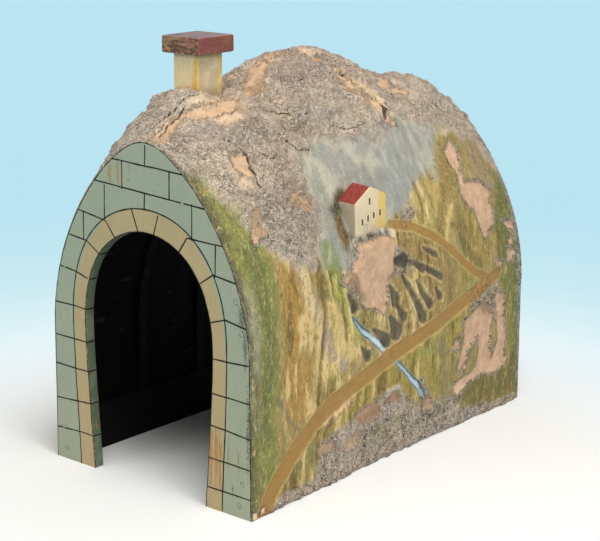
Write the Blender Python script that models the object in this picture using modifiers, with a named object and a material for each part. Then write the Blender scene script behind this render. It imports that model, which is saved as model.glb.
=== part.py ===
"""Toy railway tunnel: two wooden portals joined by battens, with a lining and a moulded mountain over them."""
import math

import bmesh
import bpy
import numpy as np
from mathutils import Vector

MM = 0.001

# Driving dimensions, in millimetres. +X is right and +Y runs into the tunnel, seen from the front portal.
HALF_WIDTH = 75.0
LENGTH = 270.0
PORTAL_THICKNESS = 6.2
GAP = 0.3

# Half outlines of an arch: foot half-width, spring point (x, z), handle lengths below and above it, crown.
OUTER_ARCH = {"foot": HALF_WIDTH, "spring": (73.9, 81.8), "below": 20.7, "above": 55.7, "flat": 24.8, "top": 191.3}
OPENING_ARCH = {"foot": 42.9, "spring": (47.9, 85.4), "below": 24.2, "above": 44.0, "flat": 20.0, "top": 142.6}

# Battens that hold the two portals apart
RAIL_INNER = 64.0
RAIL_OUTER = 71.4
RAIL_HEIGHT = 28.0
SIDE_BATTEN = {"x": 65.8, "z": 107.4, "tilt": 13.5, "thick": 3.6, "tall": 24.0}
SHOULDER_BATTEN = {"x": 27.6, "z": 161.5, "tilt": 57.0, "thick": 6.0, "tall": 12.0}
RIDGE_BOARD = {"half_width": 20.0, "bottom": 166.0, "top": 174.0}

# Black lining of the tunnel, and the strips that press it outward
LINING_ARCH = {"foot": 66.6, "spring": (66.0, 72.0), "below": 20.0, "above": 54.0, "flat": 33.0, "top": 163.6}
LINING_THICKNESS = 1.2
HOOP_THICKNESS = 0.9
HOOP_WIDTH = 6.0
HOOP_PLACES = (-75.0, -25.0, 25.0, 75.0)

# Mountain shell
SHELL_THICKNESS = 1.8
SHELL_FOOT_Z = 0.3
SHELL_ROWS = 28
SHELL_STEPS_ROUND = 42
SHELL_END_STEPS = (1.5, 4.5, 8.0)
RIDGE_PROFILE = (
    (-135, 193), (-127, 193.4), (-122, 202), (-117, 207), (-110, 211.5), (-75, 213.5), (-59, 217), (-44, 225),
    (-20, 231), (4, 233), (24, 227), (46, 217.5), (66, 213.5), (97, 211.5), (108, 208.5), (120, 202), (126, 193.6),
    (135, 193),
)
LEDGE = {"y": -32.0, "z": 122.0, "out": 8.0, "half_long": 18.0, "half_tall": 15.0}
LEDGE_LIMIT = 74.6

# Chimney and house
STACK_CENTRE_Y = -93.0
STACK_SIZE = (18.0, 19.5)
STACK_TOP = 234.6
CAP_SIZE = (26.7, 28.7, 9.5)
CAP_CENTRE_Z = 240.28
CAP_TURN = (2.4, 1.7, 1.4)
HOUSE = {"front": 73.0, "y": -32.0, "z": 137.6, "width": 26.0, "eave": 18.9, "apex": 26.2, "depth": 13.0}
HOUSE_TURN = (7.0, 3.0, -4.2)

# Wire nails: places on a portal's face for the right half, as (name, x, z)
NAIL_PLACES = (
    ("rail_nail_lower", 66.6, 6.6),
    ("rail_nail_upper", 68.9, 19.2),
    ("side_nail_lower", 68.2, 99.4),
    ("side_nail_upper", 64.3, 115.6),
    ("shoulder_nail", 27.6, 161.5),
    ("ridge_nail", 12.0, 170.0),
)
NAIL_LENGTH = 18.0
NAIL_RADIUS = 0.75
NAIL_HEAD_RADIUS = 1.3
NAIL_HEAD_THICKNESS = 0.6
NAIL_SIDES = 10


def start_empty():
    """Remove every object and make the two collections."""
    for item in list(bpy.data.objects):
        bpy.data.objects.remove(item, do_unlink=True)
    parts = bpy.data.collections.new("toy_railway_tunnel")
    cutters = bpy.data.collections.new("cutters")
    bpy.context.scene.collection.children.link(parts)
    bpy.context.scene.collection.children.link(cutters)
    return parts, cutters


def make_material(name, color, roughness, metallic=0.0):
    material = bpy.data.materials.new(name)
    material.use_nodes = True
    shader = material.node_tree.nodes["Principled BSDF"]
    shader.inputs["Base Color"].default_value = (*color, 1.0)
    shader.inputs["Roughness"].default_value = roughness
    shader.inputs["Metallic"].default_value = metallic
    return material


def add_object(name, mesh, collection, material=None):
    item = bpy.data.objects.new(name, mesh)
    collection.objects.link(item)
    if material is not None and not mesh.materials:
        mesh.materials.append(material)
    return item


def shade_round(mesh, angle=35.0):
    mesh.shade_smooth()
    mesh.set_sharp_from_angle(angle=math.radians(angle))


def arch_points(arch, foot_z=0.0):
    """Bezier points of a whole arch from its right foot over the crown to its left foot: (point, before, after)."""
    foot, (x, z), top = arch["foot"], arch["spring"], arch["top"]
    rise = z - foot_z
    right_foot = ((foot, foot_z), (foot, foot_z), (foot + (x - foot) / 3, foot_z + rise / 3))
    right_spring = ((x, z), (x, z - arch["below"]), (x, z + arch["above"]))
    crown = ((0.0, top), (arch["flat"], top), (-arch["flat"], top))
    left = []
    for point, before, after in (right_spring, right_foot):
        left.append(tuple((-x_, z_) for x_, z_ in (point, after, before)))
    return [right_foot, right_spring, crown, *left]


def reverse_points(points):
    return [(point, after, before) for point, before, after in reversed(points)]


def inset_arch(arch, distance):
    x, z = arch["spring"]
    return {**arch, "foot": arch["foot"] - distance, "spring": (x - distance, z), "top": arch["top"] - distance,
            "flat": arch["flat"] - 0.4 * distance}


def extruded_outline(name, points, thickness, collection, material, resolution=9):
    """Fill a closed outline in the X-Z plane, thicken it along Y, and make it a welded mesh."""
    curve = bpy.data.curves.new(name, "CURVE")
    curve.dimensions = "2D"
    curve.fill_mode = "BOTH"
    curve.extrude = thickness * MM / 2
    curve.resolution_u = resolution
    spline = curve.splines.new("BEZIER")
    spline.bezier_points.add(len(points) - 1)
    for spot, (point, before, after) in zip(spline.bezier_points, points):
        spot.handle_left_type = spot.handle_right_type = "FREE"
        spot.co = Vector((point[0], point[1], 0)) * MM
        spot.handle_left = Vector((before[0], before[1], 0)) * MM
        spot.handle_right = Vector((after[0], after[1], 0)) * MM
    spline.use_cyclic_u = True
    drawing = bpy.data.objects.new(name + "_drawing", curve)
    collection.objects.link(drawing)
    drawing.rotation_euler = (math.radians(90), 0, 0)
    bpy.context.view_layer.update()
    mesh = bpy.data.meshes.new_from_object(drawing.evaluated_get(bpy.context.evaluated_depsgraph_get()))
    item = add_object(name, mesh, collection)
    mesh.materials.clear()
    if material is not None:
        mesh.materials.append(material)
    item.matrix_world = drawing.matrix_world
    bpy.data.objects.remove(drawing, do_unlink=True)
    body = bmesh.new()
    body.from_mesh(mesh)
    bmesh.ops.remove_doubles(body, verts=body.verts, dist=1e-6)
    bmesh.ops.recalc_face_normals(body, faces=body.faces)
    body.to_mesh(mesh)
    body.free()
    shade_round(mesh)
    return item


def box(name, size, centre, collection, material, tilt=0.0, round_edge=0.0):
    """A box of a size in millimetres about a centre, tilted about Y."""
    body = bmesh.new()
    bmesh.ops.create_cube(body, size=1.0)
    bmesh.ops.scale(body, vec=Vector(size) * MM, verts=body.verts)
    mesh = bpy.data.meshes.new(name)
    body.to_mesh(mesh)
    body.free()
    item = add_object(name, mesh, collection, material)
    item.location = Vector(centre) * MM
    item.rotation_euler = (0, math.radians(tilt), 0)
    if round_edge:
        bevel = item.modifiers.new("rounded_edges", "BEVEL")
        bevel.width = round_edge * MM
        bevel.segments = 1
    return item


def nail_mesh(name, grow, depth_over_head, material):
    """Half profile of a flat-headed nail on the +X side, from the head's middle down to its point."""
    head = NAIL_HEAD_RADIUS + grow
    shaft = NAIL_RADIUS + grow
    under_head = -NAIL_HEAD_THICKNESS - grow
    end = -NAIL_LENGTH - grow
    profile = [(0, depth_over_head), (head, depth_over_head), (head, under_head), (shaft, under_head),
               (shaft, end + 2.0), (0, end)]
    mesh = bpy.data.meshes.new(name)
    mesh.from_pydata([(x * MM, 0, z * MM) for x, z in profile], [(i, i + 1) for i in range(len(profile) - 1)], [])
    if material is not None:
        mesh.materials.append(material)
    return mesh


def turned(name, mesh, collection):
    item = add_object(name, mesh, collection)
    screw = item.modifiers.new("turned", "SCREW")
    screw.steps = screw.render_steps = NAIL_SIDES
    screw.use_merge_vertices = True
    screw.merge_threshold = 1e-5
    return item


def make_nails(parts, cutters, material):
    """Every nail with its cutter; the cutters are gathered in one collection for each portal."""
    nail = nail_mesh("nail", 0.0, 0.0, material)
    hole = nail_mesh("nail_hole", GAP, 1.0, None)
    by_end = {}
    for end, facing in (("front", -1), ("rear", 1)):
        group = bpy.data.collections.new(end + "_nail_holes")
        cutters.children.link(group)
        by_end[end] = group
        for side, sign in (("right", 1), ("left", -1)):
            for place, x, z in NAIL_PLACES:
                name = f"{end}_{side}_{place}"
                spot = Vector((sign * x, facing * LENGTH / 2, z)) * MM
                turn = (math.radians(-90 * facing), 0, 0)
                for item in (turned(name, nail, parts), turned(name + "_hole", hole, group)):
                    item.location = spot
                    item.rotation_euler = turn
                item.hide_render = True
                item.display_type = "WIRE"
    return by_end


def cut_by(item, group):
    cut = item.modifiers.new("holes_" + group.name, "BOOLEAN")
    cut.operation = "DIFFERENCE"
    cut.operand_type = "COLLECTION"
    cut.collection = group
    cut.solver = "EXACT"


def make_portals(parts, wood, holes):
    outline = arch_points(OUTER_ARCH) + reverse_points(arch_points(OPENING_ARCH))
    for end, facing in (("front", -1), ("rear", 1)):
        portal = extruded_outline(end + "_portal", outline, PORTAL_THICKNESS, parts, wood)
        portal.location.y = facing * (LENGTH - PORTAL_THICKNESS) / 2 * MM
        cut_by(portal, holes[end])


def make_battens(parts, wood, holes):
    """Rails on the floor, laths half-way up, battens at the shoulders and the board under the ridge."""
    inside = LENGTH - 2 * (PORTAL_THICKNESS + GAP)
    rail_x = (RAIL_INNER + RAIL_OUTER) / 2
    rail_size = (RAIL_OUTER - RAIL_INNER, inside, RAIL_HEIGHT)
    battens = []
    for side, sign in (("right", 1), ("left", -1)):
        battens.append(box(side + "_base_rail", rail_size, (sign * rail_x, 0, RAIL_HEIGHT / 2), parts, wood))
        for name, plan in (("_side_batten", SIDE_BATTEN), ("_shoulder_batten", SHOULDER_BATTEN)):
            size = (plan["thick"], inside, plan["tall"])
            centre = (sign * plan["x"], 0, plan["z"])
            battens.append(box(side + name, size, centre, parts, wood, tilt=-sign * plan["tilt"]))
    board_z = (RIDGE_BOARD["bottom"] + RIDGE_BOARD["top"]) / 2
    board_size = (2 * RIDGE_BOARD["half_width"], inside, RIDGE_BOARD["top"] - RIDGE_BOARD["bottom"])
    battens.append(box("ridge_board", board_size, (0, 0, board_z), parts, wood))
    for batten in battens:
        for group in holes.values():
            cut_by(batten, group)


def thin_arch(name, arch, thickness, length, foot_z, collection, material):
    inner = inset_arch(arch, thickness)
    outline = arch_points(arch, foot_z) + reverse_points(arch_points(inner, foot_z))
    return extruded_outline(name, outline, length, collection, material, resolution=7)


def make_lining(parts, black, tin):
    foot_z = RAIL_HEIGHT + GAP
    thin_arch("tunnel_lining", LINING_ARCH, LINING_THICKNESS, LENGTH - 2 * (PORTAL_THICKNESS + GAP), foot_z,
              parts, black)
    hoop_arch = inset_arch(LINING_ARCH, LINING_THICKNESS + GAP)
    for number, y in enumerate(HOOP_PLACES, start=1):
        hoop = thin_arch(f"lining_hoop_{number}", hoop_arch, HOOP_THICKNESS, HOOP_WIDTH, foot_z, parts, tin)
        hoop.location.y = y * MM


def ridge_height(y):
    """Height of the ridge at y: a smooth curve through the profile's points, level at both ends."""
    ys, zs = np.array(RIDGE_PROFILE, dtype=float).T
    slopes = np.gradient(zs, ys)
    slopes[0] = slopes[-1] = 0.0
    k = int(np.clip(np.searchsorted(ys, y) - 1, 0, len(ys) - 2))
    step = ys[k + 1] - ys[k]
    t = (y - ys[k]) / step
    rise = zs[k] * (1 + 2 * t) * (1 - t) ** 2 + zs[k + 1] * t * t * (3 - 2 * t)
    return rise + step * (slopes[k] * t * (1 - t) ** 2 - slopes[k + 1] * t * t * (1 - t))


def cubic(points, t):
    a, b, c, d = (np.array(p, dtype=float) for p in points)
    t = t[:, None]
    return a * (1 - t) ** 3 + 3 * b * t * (1 - t) ** 2 + 3 * c * t * t * (1 - t) + d * t ** 3


def shell_section(y):
    """Right half of the mountain's outline at y, from foot to ridge, as evenly spaced (x, z) points."""
    x, z = OUTER_ARCH["spring"]
    top = ridge_height(y)
    stretch = (top - z) / (OUTER_ARCH["top"] - z)
    foot = (HALF_WIDTH - 0.1, SHELL_FOOT_Z)
    lower = cubic([foot, (foot[0] - 0.3, z / 3), (x, z - OUTER_ARCH["below"]), (x, z)], np.linspace(0, 1, 40))
    upper = cubic([(x, z), (x, z + OUTER_ARCH["above"] * stretch), (OUTER_ARCH["flat"] * stretch, top), (0, top)],
                  np.linspace(0, 1, 80))
    line = np.vstack([lower, upper[1:]])
    run = np.concatenate([[0], np.cumsum(np.hypot(*np.diff(line, axis=0).T))])
    even = np.linspace(0, run[-1], SHELL_STEPS_ROUND // 2 + 1)
    return np.column_stack([np.interp(even, run, line[:, 0]), np.interp(even, run, line[:, 1])])


def make_shell(parts, cutters, skin, house):
    """Loft of the outlines, thickened inward, with a square hole for the stack and a pocket for the house.

    The first and last strips run straight along Y, so that their thickness stays clear of the portals.
    """
    end = LENGTH / 2 - PORTAL_THICKNESS - GAP
    straight = SHELL_END_STEPS[0]
    middle = end - SHELL_END_STEPS[-1]
    near = [end - step for step in SHELL_END_STEPS[:-1]]
    rows = [-end, *(-y for y in near), *np.linspace(-middle, middle, SHELL_ROWS), *reversed(near), end]
    vertices = []
    for y in rows:
        section = shell_section(np.clip(y, -end + straight, end - straight))
        away = ((y - LEDGE["y"]) / LEDGE["half_long"]) ** 2 + ((section[:, 1] - LEDGE["z"]) / LEDGE["half_tall"]) ** 2
        ledge = LEDGE["out"] * np.exp(-away)
        right = [(min(x + out, max(x, LEDGE_LIMIT)), y, z) for (x, z), out in zip(section, ledge)]
        left = [(-x, y, z) for x, z in section[-2::-1]]
        vertices.extend(right + left)
    across = SHELL_STEPS_ROUND + 1
    faces = []
    for i in range(len(rows) - 1):
        for j in range(across - 1):
            corner = i * across + j
            faces.append((corner, corner + across, corner + across + 1, corner + 1))
    mesh = bpy.data.meshes.new("mountain_shell")
    mesh.from_pydata([tuple(c * MM for c in v) for v in vertices], [], faces)
    shade_round(mesh)
    shell = add_object("mountain_shell", mesh, parts, skin)
    thicken = shell.modifiers.new("thickness", "SOLIDIFY")
    thicken.thickness = SHELL_THICKNESS * MM
    thicken.offset = -1.0
    hole_size = (STACK_SIZE[0] + 2 * GAP, STACK_SIZE[1] + 2 * GAP, 40.0)
    stack_hole = box("stack_hole", hole_size, (0, STACK_CENTRE_Y, 210.0), cutters, None)
    pocket = add_object("house_pocket", gabled_block("house_pocket", GAP), cutters)
    pocket.matrix_world = house.matrix_world
    for cutter in (stack_hole, pocket):
        cutter.hide_render = True
        cutter.display_type = "WIRE"
        cut = shell.modifiers.new("cut_" + cutter.name, "BOOLEAN")
        cut.operation = "DIFFERENCE"
        cut.object = cutter
        cut.solver = "EXACT"
    return shell


def make_chimney(parts, stack_paint, cap_paint):
    foot = RIDGE_BOARD["top"] + GAP
    stack_size = (*STACK_SIZE, STACK_TOP - foot)
    box("chimney_stack", stack_size, (0, STACK_CENTRE_Y, (STACK_TOP + foot) / 2), parts, stack_paint)
    cap = box("chimney_cap", CAP_SIZE, (0, STACK_CENTRE_Y, CAP_CENTRE_Z), parts, cap_paint, round_edge=0.8)
    cap.rotation_euler = [math.radians(a) for a in CAP_TURN]  # it sits a little crooked on the stack


def gabled_block(name, grow=0.0):
    """Mesh of a block with a gable roof; its gable end faces +X and every face is moved out by grow."""
    half, eave, apex = HOUSE["width"] / 2 + grow, HOUSE["eave"] + grow, HOUSE["apex"] + grow
    gable = [(-half, -grow), (half, -grow), (half, eave), (0, apex), (-half, eave)]
    body = bmesh.new()
    front = body.faces.new([body.verts.new((grow * MM, y * MM, z * MM)) for y, z in gable])
    back = bmesh.ops.extrude_face_region(body, geom=[front])
    moved = [piece for piece in back["geom"] if isinstance(piece, bmesh.types.BMVert)]
    bmesh.ops.translate(body, vec=(-(HOUSE["depth"] + 2 * grow) * MM, 0, 0), verts=moved)
    bmesh.ops.recalc_face_normals(body, faces=body.faces)
    mesh = bpy.data.meshes.new(name)
    body.to_mesh(mesh)
    body.free()
    return mesh


def make_house(parts, paint):
    """The house stands out of the mountain's right side, a little turned."""
    house = add_object("house_block", gabled_block("house_block"), parts, paint)
    house.location = Vector((HOUSE["front"], HOUSE["y"], HOUSE["z"])) * MM
    house.rotation_euler = [math.radians(a) for a in HOUSE_TURN]
    bpy.context.view_layer.update()
    return house


def main():
    parts, cutters = start_empty()
    stone_paint = make_material("portal_paint", (0.32, 0.35, 0.27), 0.5)
    bare_wood = make_material("bare_wood", (0.42, 0.29, 0.17), 0.7)
    black_paper = make_material("black_lining", (0.02, 0.02, 0.02), 0.75)
    tin = make_material("hoop_strip", (0.03, 0.03, 0.03), 0.6)
    skin = make_material("mountain_skin", (0.38, 0.33, 0.22), 0.85)
    stack_paint = make_material("stack_paint", (0.6, 0.5, 0.3), 0.6)
    cap_paint = make_material("cap_paint", (0.24, 0.1, 0.07), 0.5)
    house_paint = make_material("house_paint", (0.66, 0.55, 0.38), 0.6)
    steel = make_material("nail_steel", (0.3, 0.27, 0.22), 0.5, metallic=0.8)
    holes = make_nails(parts, cutters, steel)
    make_portals(parts, stone_paint, holes)
    make_battens(parts, bare_wood, holes)
    make_lining(parts, black_paper, tin)
    make_chimney(parts, stack_paint, cap_paint)
    house = make_house(parts, house_paint)
    make_shell(parts, cutters, skin, house)


main()
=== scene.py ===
import math

import bpy
import numpy as np
from mathutils import Matrix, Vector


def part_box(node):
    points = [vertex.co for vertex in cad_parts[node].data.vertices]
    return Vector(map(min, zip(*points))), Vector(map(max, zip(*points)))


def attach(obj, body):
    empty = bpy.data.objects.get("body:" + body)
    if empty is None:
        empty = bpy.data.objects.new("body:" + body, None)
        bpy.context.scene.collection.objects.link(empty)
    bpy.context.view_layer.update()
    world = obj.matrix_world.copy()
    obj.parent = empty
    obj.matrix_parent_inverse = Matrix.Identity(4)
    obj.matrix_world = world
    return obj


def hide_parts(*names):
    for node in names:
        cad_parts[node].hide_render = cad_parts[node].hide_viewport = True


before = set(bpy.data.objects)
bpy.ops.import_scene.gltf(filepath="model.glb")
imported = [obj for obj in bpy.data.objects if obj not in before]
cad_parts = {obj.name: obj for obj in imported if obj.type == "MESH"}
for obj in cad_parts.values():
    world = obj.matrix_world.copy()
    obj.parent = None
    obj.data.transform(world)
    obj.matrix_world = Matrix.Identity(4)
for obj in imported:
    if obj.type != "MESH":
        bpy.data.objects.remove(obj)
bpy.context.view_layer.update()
mm = 0.001


# Colours are written as screen values from 0 to 255 and turned into linear light here.
def tint(red, green, blue):
    part = np.array([red, green, blue]) / 255
    return tuple(np.where(part <= 0.04045, part / 12.92, ((part + 0.055) / 1.055) ** 2.4))


# Wraps one socket that gives a value; an expression on values adds Math nodes.
class Value:
    def __init__(self, finish, socket):
        self.finish = finish
        self.socket = socket

    def __add__(self, other):
        return self.finish.maths("ADD", self, other)

    def __sub__(self, other):
        return self.finish.maths("SUBTRACT", self, other)

    def __rsub__(self, other):
        return self.finish.maths("SUBTRACT", other, self)

    def __mul__(self, other):
        return self.finish.maths("MULTIPLY", self, other)

    __radd__ = __add__
    __rmul__ = __mul__


# A material with its Principled shader, the colour laid on so far, and the few ways its nodes are made.
class Finish:
    def __init__(self, name, roughness=0.6, specular=0.5):
        self.material = bpy.data.materials.new(name)
        self.material.use_nodes = True
        self.tree = self.material.node_tree
        self.shader = self.tree.nodes["Principled BSDF"]
        self.shader.inputs["Roughness"].default_value = roughness
        self.shader.inputs["Specular IOR Level"].default_value = specular
        self.place = self.node("ShaderNodeTexCoord").outputs["Object"]
        self.color = None

    def node(self, kind, settings=None, inputs=None):
        made = self.tree.nodes.new(kind)
        for key, value in (settings or {}).items():
            setattr(made, key, value)
        for key, value in (inputs or {}).items():
            self.feed(made.inputs[key], value)
        return made

    def feed(self, socket, value):
        if isinstance(value, Value):
            value = value.socket
        if isinstance(value, bpy.types.NodeSocket):
            self.tree.links.new(value, socket)
        elif isinstance(value, (tuple, list)) and len(value) == 3 and len(socket.default_value) == 4:
            socket.default_value = (*value, 1.0)
        else:
            socket.default_value = value

    def value(self, kind, settings=None, inputs=None, output=0):
        return Value(self, self.node(kind, settings, inputs).outputs[output])

    def maths(self, operation, first, second=0.0):
        return self.value("ShaderNodeMath", {"operation": operation}, {0: first, 1: second})

    # Object places scaled up, and moved by shift so that two patterns differ.
    def spread(self, scale, shift=0.0):
        return self.node("ShaderNodeMapping", {}, {"Vector": self.place, "Location": (shift,) * 3,
                                                   "Scale": scale}).outputs[0]

    # Noise of about 0 to 1 whose grains are size millimetres across, stretched along X, Y and Z.
    def noise(self, size, detail=2.0, stretch=(1, 1, 1), shift=0.0, roughness=0.5, warp=0.0):
        place = self.spread(tuple(1 / (size * mm * s) for s in stretch), shift)
        return self.value("ShaderNodeTexNoise", {}, {"Vector": place, "Scale": 1.0, "Detail": detail,
                                                     "Roughness": roughness, "Distortion": warp})

    # Distance to the nearest of scattered points, 0 at a point, in cells of size millimetres.
    def cells(self, size):
        return self.value("ShaderNodeTexVoronoi", {}, {"Vector": self.spread((1 / (size * mm),) * 3),
                                                       "Scale": 1.0})

    # 0 below low, 1 above high, and a smooth step between.
    def step(self, value, low, high):
        return self.value("ShaderNodeMapRange", {"interpolation_type": "SMOOTHSTEP"},
                          {0: value, 1: low, 2: high, 3: 0.0, 4: 1.0})

    # Mixes two colours, each a link or a screen colour.
    def layer(self, mask, under, over):
        under, over = (tint(*color) if isinstance(color, tuple) else color for color in (under, over))
        return self.value("ShaderNodeMix", {"data_type": "RGBA"}, {0: mask, 6: under, 7: over}, output=2)

    # Lays one more colour over the finish where the mask says.
    def lay(self, mask, over):
        self.color = self.layer(mask, self.color, over)

    def attribute(self, name):
        return self.value("ShaderNodeAttribute", {"attribute_name": name}, output=2)

    # Millimetres along X, Y or Z.
    def axis(self, letter):
        apart = self.node("ShaderNodeSeparateXYZ", {}, {0: self.place})
        return Value(self, apart.outputs["XYZ".index(letter)]) * (1 / mm)

    # Bumps of a height in millimetres.
    def relief(self, height):
        bump = self.node("ShaderNodeBump", {}, {"Distance": mm, "Height": height})
        self.tree.links.new(bump.outputs[0], self.shader.inputs["Normal"])

    def done(self, roughness=None):
        self.feed(self.shader.inputs["Base Color"], self.color)
        if roughness is not None:
            self.feed(self.shader.inputs["Roughness"], roughness)
        return self.material


# A plain paint of two tones in grains of a size, over finer bumps of a height.
def twoTone(name, size, one, other, bumpSize, bump, roughness, specular=0.5):
    finish = Finish(name, roughness, specular)
    finish.relief(finish.noise(bumpSize, 2) * bump)
    finish.color = finish.layer(finish.noise(size, 2), one, other)
    return finish.done()


# Six times the signed volume: the sum over faces of each corner triangle's triple product.
def signedVolume(points, faces):
    total = 0.0
    for count in set(len(face) for face in faces):
        ring = points[np.array([face for face in faces if len(face) == count])]
        for k in range(1, count - 1):
            total += np.einsum("ij,ij->", ring[:, 0], np.cross(ring[:, k], ring[:, k + 1]))
    return total


# Points are in millimetres: a grid of profiles along a path, or a list that comes with its faces. Faces are
# turned outward if their volume comes out negative. Fields are kept as attributes of the points.
def makePiece(name, points, material, replaced=(), fields=None, faces=None, sharp=None):
    if faces is None:
        faces, points = sweptFaces(*points.shape[:2]), points.reshape(-1, 3)
    if signedVolume(points, faces) < 0:
        faces = [face[::-1] for face in faces]
    mesh = bpy.data.meshes.new(name)
    mesh.from_pydata(points * mm, [], faces)
    mesh.materials.append(material)
    for key, values in (fields or {}).items():
        if values.size == points.size:
            data = mesh.attributes.new(key, "FLOAT_COLOR", "POINT").data
            data.foreach_set("color", np.column_stack([values.reshape(-1, 3), np.ones(len(points))]).ravel())
        else:
            data = mesh.attributes.new(key, "FLOAT", "POINT").data
            data.foreach_set("value", values.ravel().astype(np.float32))
    mesh.shade_smooth()
    if sharp:
        mesh.set_sharp_from_angle(angle=math.radians(sharp))
    piece = bpy.data.objects.new(name, mesh)
    bpy.context.scene.collection.objects.link(piece)
    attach(piece, "root")
    if replaced:
        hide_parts(*replaced)
    return piece


# Quads between rows of a grid of point numbers, whose columns close on themselves.
def gridFaces(rows, columns, start=0):
    i, j = np.meshgrid(np.arange(rows - 1), np.arange(columns), indexing="ij")
    a = start + i * columns + j
    b = start + i * columns + (j + 1) % columns
    return np.stack([a, b, b + columns, a + columns], axis=-1).reshape(-1, 4).tolist()


# Faces of a closed profile of count points carried along a path of stations, with flat end caps.
def sweptFaces(stations, count, start=0):
    faces = gridFaces(stations, count, start)
    faces.append(list(range(start + count - 1, start - 1, -1)))
    last = start + (stations - 1) * count
    faces.append(list(range(last, last + count)))
    return faces


# Value noise: random numbers on a cubic lattice of cells size millimetres wide, blended smoothly; -1 to 1.
def lattice(points, size, seed):
    table = np.random.default_rng(seed).uniform(-1, 1, 4096)
    cell = points / size
    base = np.floor(cell).astype(np.int64)
    t = cell - base
    t = t * t * (3 - 2 * t)
    total = 0.0
    for corner in range(8):
        bit = np.array([corner & 1, corner >> 1 & 1, corner >> 2 & 1])
        key = (base + bit) * np.array([73856093, 19349663, 83492791])
        weight = np.prod(np.where(bit, t, 1 - t), axis=-1)
        total = total + weight * table[(key[..., 0] ^ key[..., 1] ^ key[..., 2]) & 4095]
    return total


# Value noise in octaves: each has half the size and half the height of the one before.
def cloud(points, size, seed, octaves=3):
    return sum(lattice(points, size / 2 ** k, seed + k) / 2 ** k for k in range(octaves))


# 0 up to low, 1 from high, and 3 t squared less 2 t cubed between, where t is the share of the way.
def smoothStep(value, low, high):
    t = np.clip((value - low) / (high - low), 0, 1)
    return t * t * (3 - 2 * t)


# Each arch by its foot and spring in X, its curves' pulls, and its top, in millimetres.
outerArch = {"foot": 75.0, "spring": (73.9, 81.8), "below": 20.7, "above": 55.7, "flat": 24.8, "top": 191.3}
bandArch = {"foot": 54.5, "spring": (58.0, 86.8), "below": 27.3, "above": 54.9, "flat": 22.4, "top": 155.4}
openingArch = {"foot": 42.9, "spring": (47.9, 85.4), "below": 24.2, "above": 44.0, "flat": 20.0, "top": 142.6}


# A cubic Bezier curve through a and d, pulled towards b and c.
def cubic(a, b, c, d, t):
    return a * (1 - t) ** 3 + 3 * b * t * (1 - t) ** 2 + 3 * c * t * t * (1 - t) + d * t ** 3


# Points spaced evenly along an open line, worked out from its running length.
def spaced(line, count):
    run = np.concatenate([[0], np.cumsum(np.linalg.norm(np.diff(line, axis=0), axis=1))])
    even = np.linspace(0, run[-1], count)
    return np.column_stack([np.interp(even, run, line[:, k]) for k in range(line.shape[1])])


# An arch in x and z, from its right foot over the crown to its left foot: two cubic curves and their mirror.
def archLine(arch, count, footZ=0.0):
    (x, z), foot, top = arch["spring"], arch["foot"], arch["top"]
    t = np.linspace(0, 1, 200)[:, None]
    footEnd = np.array([foot, footZ])
    lower = cubic(footEnd, footEnd + np.array([(x - foot) / 3, (z - footZ) / 3]),
                  np.array([x, z - arch["below"]]), np.array([x, z]), t)
    upper = cubic(np.array([x, z]), np.array([x, z + arch["above"]]), np.array([arch["flat"], top]),
                  np.array([0.0, top]), t)
    right = np.vstack([lower, upper[1:]])
    left = right[-2::-1] * np.array([-1, 1])
    return spaced(np.vstack([right, left]), count)


portal = {
    "front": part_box("front_portal"),
    "thickness": 6.2, "edgeRound": 0.5, "backLip": 0.25,
    "stations": 300, "faceColumns": 30,
    "footInset": 0.02, "footLift": 0.3,
    "nickReach": 0.8, "nickFrom": 0.45, "nickDepth": 0.8, "faceWave": 0.02,
}
frontY = portal["front"][0].y / mm


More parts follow.
